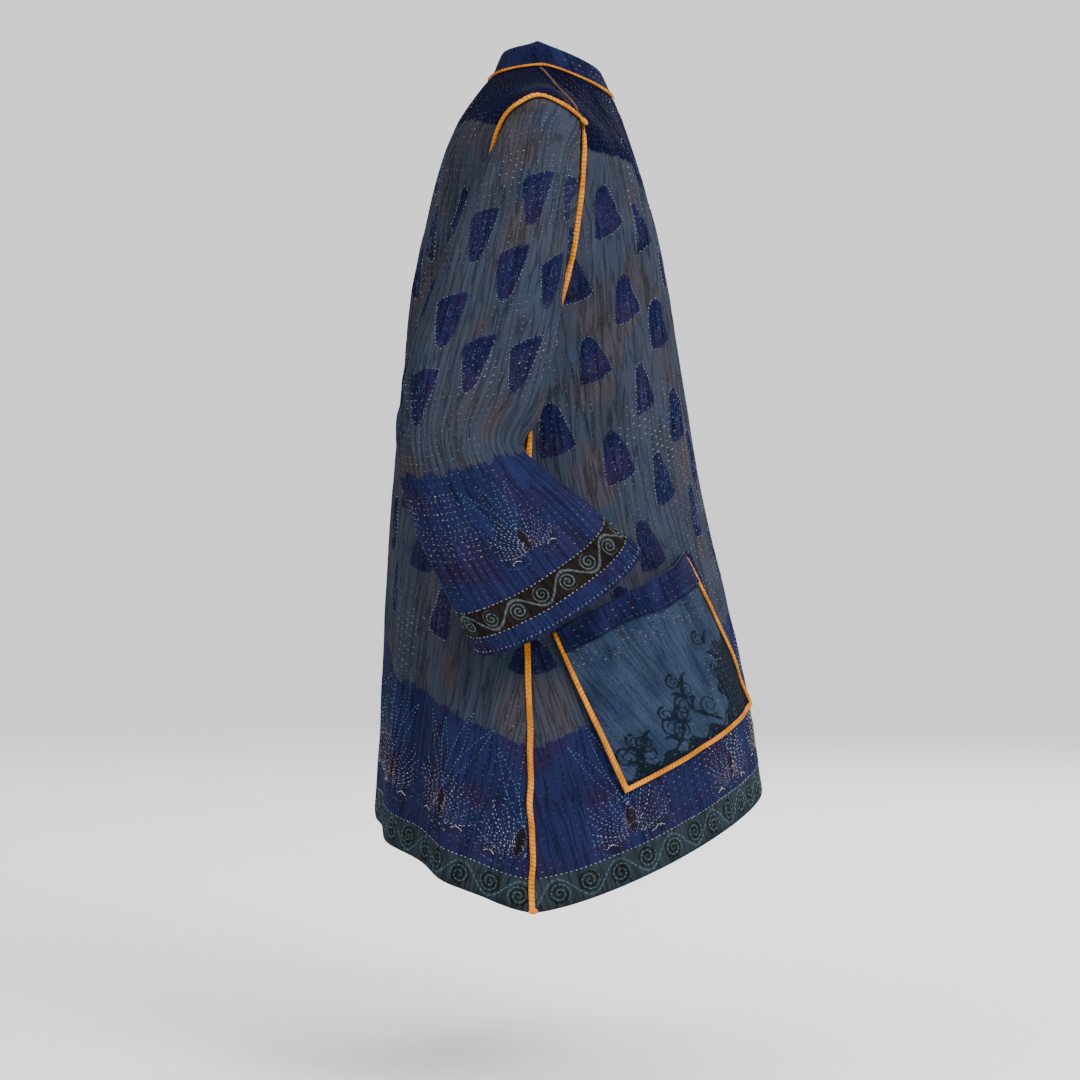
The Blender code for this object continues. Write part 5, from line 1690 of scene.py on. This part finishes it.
def panel_stitches(cloth, seed, leaves, sprigs):
    """All stitches of a body panel."""
    parts = [running_rows(cloth, seed, ground_thread(HEM_DYED), 0.1, HEM_BORDER + 0.004,
                          bright_spots=sprigs, slope=-0.2),
             leaf_stitches(leaves, BODY_LEAVES, seed),
             scroll_stitches(cloth.extent[0], 0.0, HEM_BORDER, HEM_REPEAT)]
    parts += [sprig(centre, SPRIG_SIZE) for centre in sprigs]
    return join_dashes(parts)


def yoke_edge(grid):
    """Height of the lower edge of the navy yoke."""
    return YOKE_HEIGHT + YOKE_SLOPE * grid[..., 1] + 0.003 * np.sin(40 * grid[..., 0])


def hem_dyed(flat):
    """How far a place is below the dyed zone's edge, which is lower at the side seam."""
    across = np.abs(flat[..., 0])
    return HEM_DYED - HEM_DYED_DROP * smooth(across / 0.30) + 0.004 * np.sin(31 * across) - flat[..., 1]


def sleeve_dyed(grid):
    """How far a place of the sleeve is below the dyed zone's edge, which is nearly level."""
    wave = 0.003 * np.sin(60 * grid[..., 1])
    return SLEEVE_DYED_HEIGHT - SLEEVE_DYED_SLOPE * grid[..., 1] + wave - grid[..., 2]


def build_jacket():
    """Make all cloth pieces with their stitches and bindings."""
    groups = {"worn": worn_cloth_and_crease_shade_group(), "jagged": jagged_group(), "leaf": leaf_group(),
              "scroll": scroll_group()}
    quilt = body_material(groups, "quilted_cotton_body", 0.0, HEM_BORDER, HEM_REPEAT,
                          BODY_LEAVES, (SCROLL_SLATE, BORDER_DARK, SCROLL_PALE))
    sleeve_quilt = body_material(groups, "quilted_cotton_sleeve", CUFF_BAND, CUFF_BORDER, CUFF_REPEAT,
                                 SLEEVE_LEAVES, (BORDER_BROWN, BORDER_DARK, CUFF_SLATE))
    navy = plain_material(groups, "navy_cotton", NAVY, DEEP_BLUE)
    blue_print = pocket_material(groups)
    orange = plain_material(groups, "orange_binding", ORANGE, ORANGE_DARK, 0.45)
    faded = plain_material(groups, "faded_binding", FADED_BINDING, GREY, 0.45)
    thread = thread_material()

    front, front_normals, front_starts = fine_panel(FRONT_ROWS, angle_at_opening)
    half_back, half_normals, back_starts = fine_panel(BACK_ROWS, lambda _: 180.0)
    half_normals[:, 0, 0] = 0
    half_normals = unit(half_normals)
    share_seams(front, front_starts, front_normals, half_back, back_starts, half_normals)
    front_end = front_starts[FRONT_UNDERARM_ROW]
    back_end = back_starts[BACK_UNDERARM_ROW]
    edge, edge_normals, into_hole = armhole_line(
        front, front_normals, front_end, half_back, half_normals, back_end)
    half_cloth = cloth_of("back_half", "back", half_back, half_normals, 31)
    front_cloth = cloth_of("front_half", "front", front, front_normals, 41)
    sleeve, sleeve_normals, under_arm = sleeve_surface(edge, edge_normals, into_hole, front_end)
    sleeve_cloth = cloth_of("sleeve_half", "sleeve", sleeve, sleeve_normals, 71, closed=True,
                            start=under_arm)

    whole = {field: both_halves(getattr(half_cloth, field), mirrored)
             for field in ("grid", "normals", "soft", "raised")}
    whole["flat"] = both_halves(half_cloth.flat, lambda flat: flat * np.array([-1.0, 1.0]))
    back_cloth = half_cloth._replace(name="back_cloth", **whole)
    leaves = leaf_centres(half_cloth.extent, BODY_LEAVES)
    patches = [patch for centre in BACK_SPRIGS for patch in sprig_patches(centre, SPRIG_SIZE)]
    patches += [(-x, y, a, b, 180 - tilt, most) for x, y, a, b, tilt, most in patches]
    marks = zone_marks(back_cloth, yoke_edge(back_cloth.grid), hem_dyed(back_cloth.flat), patches)
    piece = add_shell(back_cloth, quilt, "back", marks)
    extras = [add_stitches("back_stitches_" + side, half_cloth,
                           panel_stitches(half_cloth, seed, leaves, BACK_SPRIGS),
                           thread, flip)
              for side, flip, seed in (("right", same, 51), ("left", mirrored, 55))]
    declare(back_cloth, extras)

    front_leaves = leaf_centres(front_cloth.extent, BODY_LEAVES)
    patches = [patch for centre in FRONT_SPRIGS for patch in sprig_patches(centre, SPRIG_SIZE)]
    front_marks = zone_marks(front_cloth, yoke_edge(front_cloth.grid), hem_dyed(front_cloth.flat), patches)
    sleeve_leaves = leaf_centres(sleeve_cloth.extent, SLEEVE_LEAVES)
    sleeve_marks = zone_marks(sleeve_cloth, 1.0, sleeve_dyed(sleeve_cloth.grid),
                              sprig_patches(SLEEVE_SPRIG, 0.8 * SPRIG_SIZE))

    def stitches_of(cloth, seed):
        if cloth is front_cloth:
            return panel_stitches(front_cloth, 61 + seed, front_leaves, FRONT_SPRIGS)
        return join_dashes([
            running_rows(sleeve_cloth, 81 + seed, ground_thread(SLEEVE_DYED), 0.1, CUFF_BORDER + 0.004,
                         bright_spots=SLEEVE_SPOTS, slope=-0.17),
            running_rows(sleeve_cloth, 82 + seed, ground_thread(SLEEVE_DYED), 0.3, 0.003, CUFF_BAND),
            leaf_stitches(sleeve_leaves, SLEEVE_LEAVES, 11 + seed),
            sprig(SLEEVE_SPRIG, 0.8 * SPRIG_SIZE), whip_stitches(sleeve_cloth.extent[0]),
            close_rows(SLEEVE_ROWS, (0.0052, 0.0056), ("white", "pink", "gold", "pink"), 84, -0.17),
            scroll_stitches(sleeve_cloth.extent[0], CUFF_BAND, CUFF_BORDER, CUFF_REPEAT)])
    front_rows = np.linspace(0, front_end, 3 * front_end + 1)
    back_rows = np.linspace(back_end, 0, 3 * back_end + 1)[1:-1]
    on_front = beside_edge(front_cloth.soft, front_normals, front_rows)
    on_back = beside_edge(half_cloth.soft, half_normals, back_rows)

    def around_armhole(distance):
        inward = 0.53 * BINDING_WIDTH + distance
        return [np.concatenate(pair) for pair in zip(on_front(inward), on_back(inward))]
    share = np.linspace(0.028, 0.998, 420)
    side_at = across_seam(
        beside_edge(front_cloth.soft, front_normals, front_end + share * (len(front) - 1 - front_end)),
        beside_edge(half_cloth.soft, half_normals, back_end + share * (len(half_back) - 1 - back_end)))
    inward = np.linspace(1.8 * FINER, (2 * SEAM_RIDGES - 1.2) * FINER, 120)
    shoulder_at = across_seam(below_edge(front_cloth.soft, front_normals, front.shape[1] - 1 - inward),
                              below_edge(half_cloth.soft, half_normals, half_back.shape[1] - 1 - inward))
    knot_way = unit(edge[0] - front[0, -30])
    sway = (0.0004 + 0.0009 * smooth((share - 0.5) / 0.3)) * noise(share * 0.72, 0 * share, 0.030, 15)

    def along_side(distance):
        points, normals = side_at(distance)
        return points + np.cross(normals, unit(np.gradient(points, axis=0))) * sway[:, None], normals
    for side, flip, seed in (("right", same, 0), ("left", mirrored, 7)):
        for cloth, material, piece_marks in (
                (front_cloth, quilt, front_marks), (sleeve_cloth, sleeve_quilt, sleeve_marks)):
            node = cloth.name.replace("half", side)
            turned = on_side(cloth, flip, node + "_cloth")
            piece = add_shell(turned, material, node, piece_marks)
            sewn = add_stitches(node + "_stitches", cloth, stitches_of(cloth, seed),
                                thread, flip)
            declare(turned, [sewn])
        add_pocket(side, flip, front_cloth.soft, front_normals, front_starts,
                   (blue_print, navy, orange, thread))
        knot = add_knot("knot_" + side, edge[0] + edge_normals[0] * 0.0022 + knot_way * 0.003,
                        knot_way, edge_normals[0], 0.0058, orange, flip)
        bound_edge("binding_armhole_" + side, around_armhole, BINDING_WIDTH, (orange, thread), flip,
                   closed=True)
        points, normals = along_side(0.0)
        way = unit(np.cross(normals[-1], points[-1] - points[-4]))
        end = add_knot("binding_end_" + side, points[-1] + 0.0010 * normals[-1] + 0.0010 * way, way,
                       normals[-1], 0.0042, orange, flip)
        bound_edge("binding_side_" + side, along_side, BINDING_WIDTH, (orange, thread), flip)
        bound_edge("binding_shoulder_" + side, shoulder_at, NECK_BINDING_WIDTH, (faded, thread), flip)

    path, lead = neck_line(front, half_back, 241)
    collar = collar_surface(path, lead)
    collar_normals = outward(collar)
    collar_cloth = cloth_of("collar_cloth", "collar", collar, collar_normals, 101, ridge_share=0.8)
    piece = add_shell(collar_cloth, navy, "collar", {})
    fill = running_rows(collar_cloth, 103, ground_thread(9.0), 0.3)
    declare(collar_cloth,
            [add_stitches("collar_stitches", collar_cloth, fill, thread, same)])
    add_neck_binding(front_cloth, half_cloth, collar_cloth, (orange, thread))


def add_neck_binding(front_cloth, half_cloth, collar_cloth, cloths):
    """Thin binding over the seam between the neck edge and the collar."""
    front_columns = np.linspace(2.0, front_cloth.grid.shape[1] - SEAM_COLUMNS - 1, 70)
    back_columns = np.linspace(half_cloth.grid.shape[1] - SEAM_COLUMNS - 2.0, 0.0, 60)
    sides = (below_edge(front_cloth.soft, front_cloth.normals, front_columns),
             below_edge(half_cloth.soft, half_cloth.normals, back_columns))

    def on_panels(distance):
        found = [side(distance) for side in sides]
        points = np.concatenate([found[0][0], found[1][0]])
        normals = np.concatenate([found[0][1], found[1][1]])
        return (np.concatenate([points, mirrored(points)[-2::-1]]),
                np.concatenate([normals, mirrored(normals)[-2::-1]]))
    edge, _ = on_panels(0.0)
    base = collar_cloth.grid[-1]
    run = lengths_along(base)
    path = lengths_along(edge)
    first = np.linalg.norm(edge[0] - base[0])
    columns = np.interp(first + path * (run[-1] - 2 * first) / path[-1], run, np.arange(len(base)))
    step = np.linalg.norm(collar_cloth.grid[-2, 0] - collar_cloth.grid[-1, 0])

    def on_collar(distance):
        row = np.full_like(columns, len(collar_cloth.grid) - 1 - distance / step)
        return on_grid(collar_cloth.soft, row, columns), unit(on_grid(collar_cloth.normals, row, columns))
    bound_edge("binding_neck", across_seam(on_panels, on_collar), NECK_BINDING_WIDTH, cloths, same)


def add_camera():
    """Camera square on to the right side, level with the jacket's middle."""
    camera = bpy.data.cameras.new("camera")
    camera.lens = CAMERA_LENS
    camera.sensor_width = SENSOR_WIDTH
    camera.sensor_fit = "HORIZONTAL"
    holder = bpy.data.objects.new("camera", camera)
    holder.location = CAMERA_PLACE
    holder.rotation_euler = (np.pi / 2, 0.0, -np.pi / 2)
    bpy.context.scene.collection.objects.link(holder)
    bpy.context.scene.camera = holder


def add_light(name, place, size, power):
    """Square area light that faces the lights' target."""
    light = bpy.data.lights.new(name, "AREA")
    light.size = size
    light.energy = power
    holder = bpy.data.objects.new(name, light)
    way = np.array(LIGHT_TARGET) - np.array(place)
    flat = np.hypot(way[0], way[1])
    holder.location = place
    holder.rotation_euler = (np.pi / 2 + np.arctan2(way[2], flat), 0.0,
                             np.arctan2(way[1], way[0]) - np.pi / 2)
    bpy.context.scene.collection.objects.link(holder)


def add_studio():
    """Pale round floor that curves up into a wall, soft lights and a pale world."""
    turn = np.linspace(0, 2 * np.pi, 96, endpoint=False)
    bend = np.linspace(0, np.pi / 2, 14)
    radius = np.concatenate([[0.02, 2.0, 4.0, 6.0], 6.0 + 3.0 * np.sin(bend[1:]), [9.0]])
    height = np.concatenate([[0, 0, 0, 0], 3.0 * (1 - np.cos(bend[1:])), [8.0]]) + FLOOR_LEVEL
    points = np.stack([radius[:, None] * np.cos(turn), radius[:, None] * np.sin(turn),
                       np.broadcast_to(height[:, None], (len(radius), len(turn)))], axis=-1)
    faces = wrapped_faces(*points.shape[:2])[:, [0, 3, 2, 1]]
    mesh = bpy.data.meshes.new("floor")
    mesh.from_pydata(points.reshape(-1, 3).tolist(), [], faces.tolist())
    mesh.shade_smooth()
    floor = bpy.data.objects.new("floor", mesh)
    material, _, shader = new_material("pale_floor")
    shader.inputs["Base Color"].default_value = (0.93, 0.93, 0.93, 1.0)
    shader.inputs["Roughness"].default_value = 0.9
    mesh.materials.append(material)
    bpy.context.scene.collection.objects.link(floor)
    world = bpy.data.worlds.new("studio")
    world.use_nodes = True
    background = world.node_tree.nodes["Background"]
    background.inputs["Color"].default_value = (1.0, 1.0, 1.0, 1.0)
    background.inputs["Strength"].default_value = WORLD_STRENGTH
    bpy.context.scene.world = world
    for light in LIGHTS:
        add_light(*light)


build_jacket()
add_camera()
add_studio()
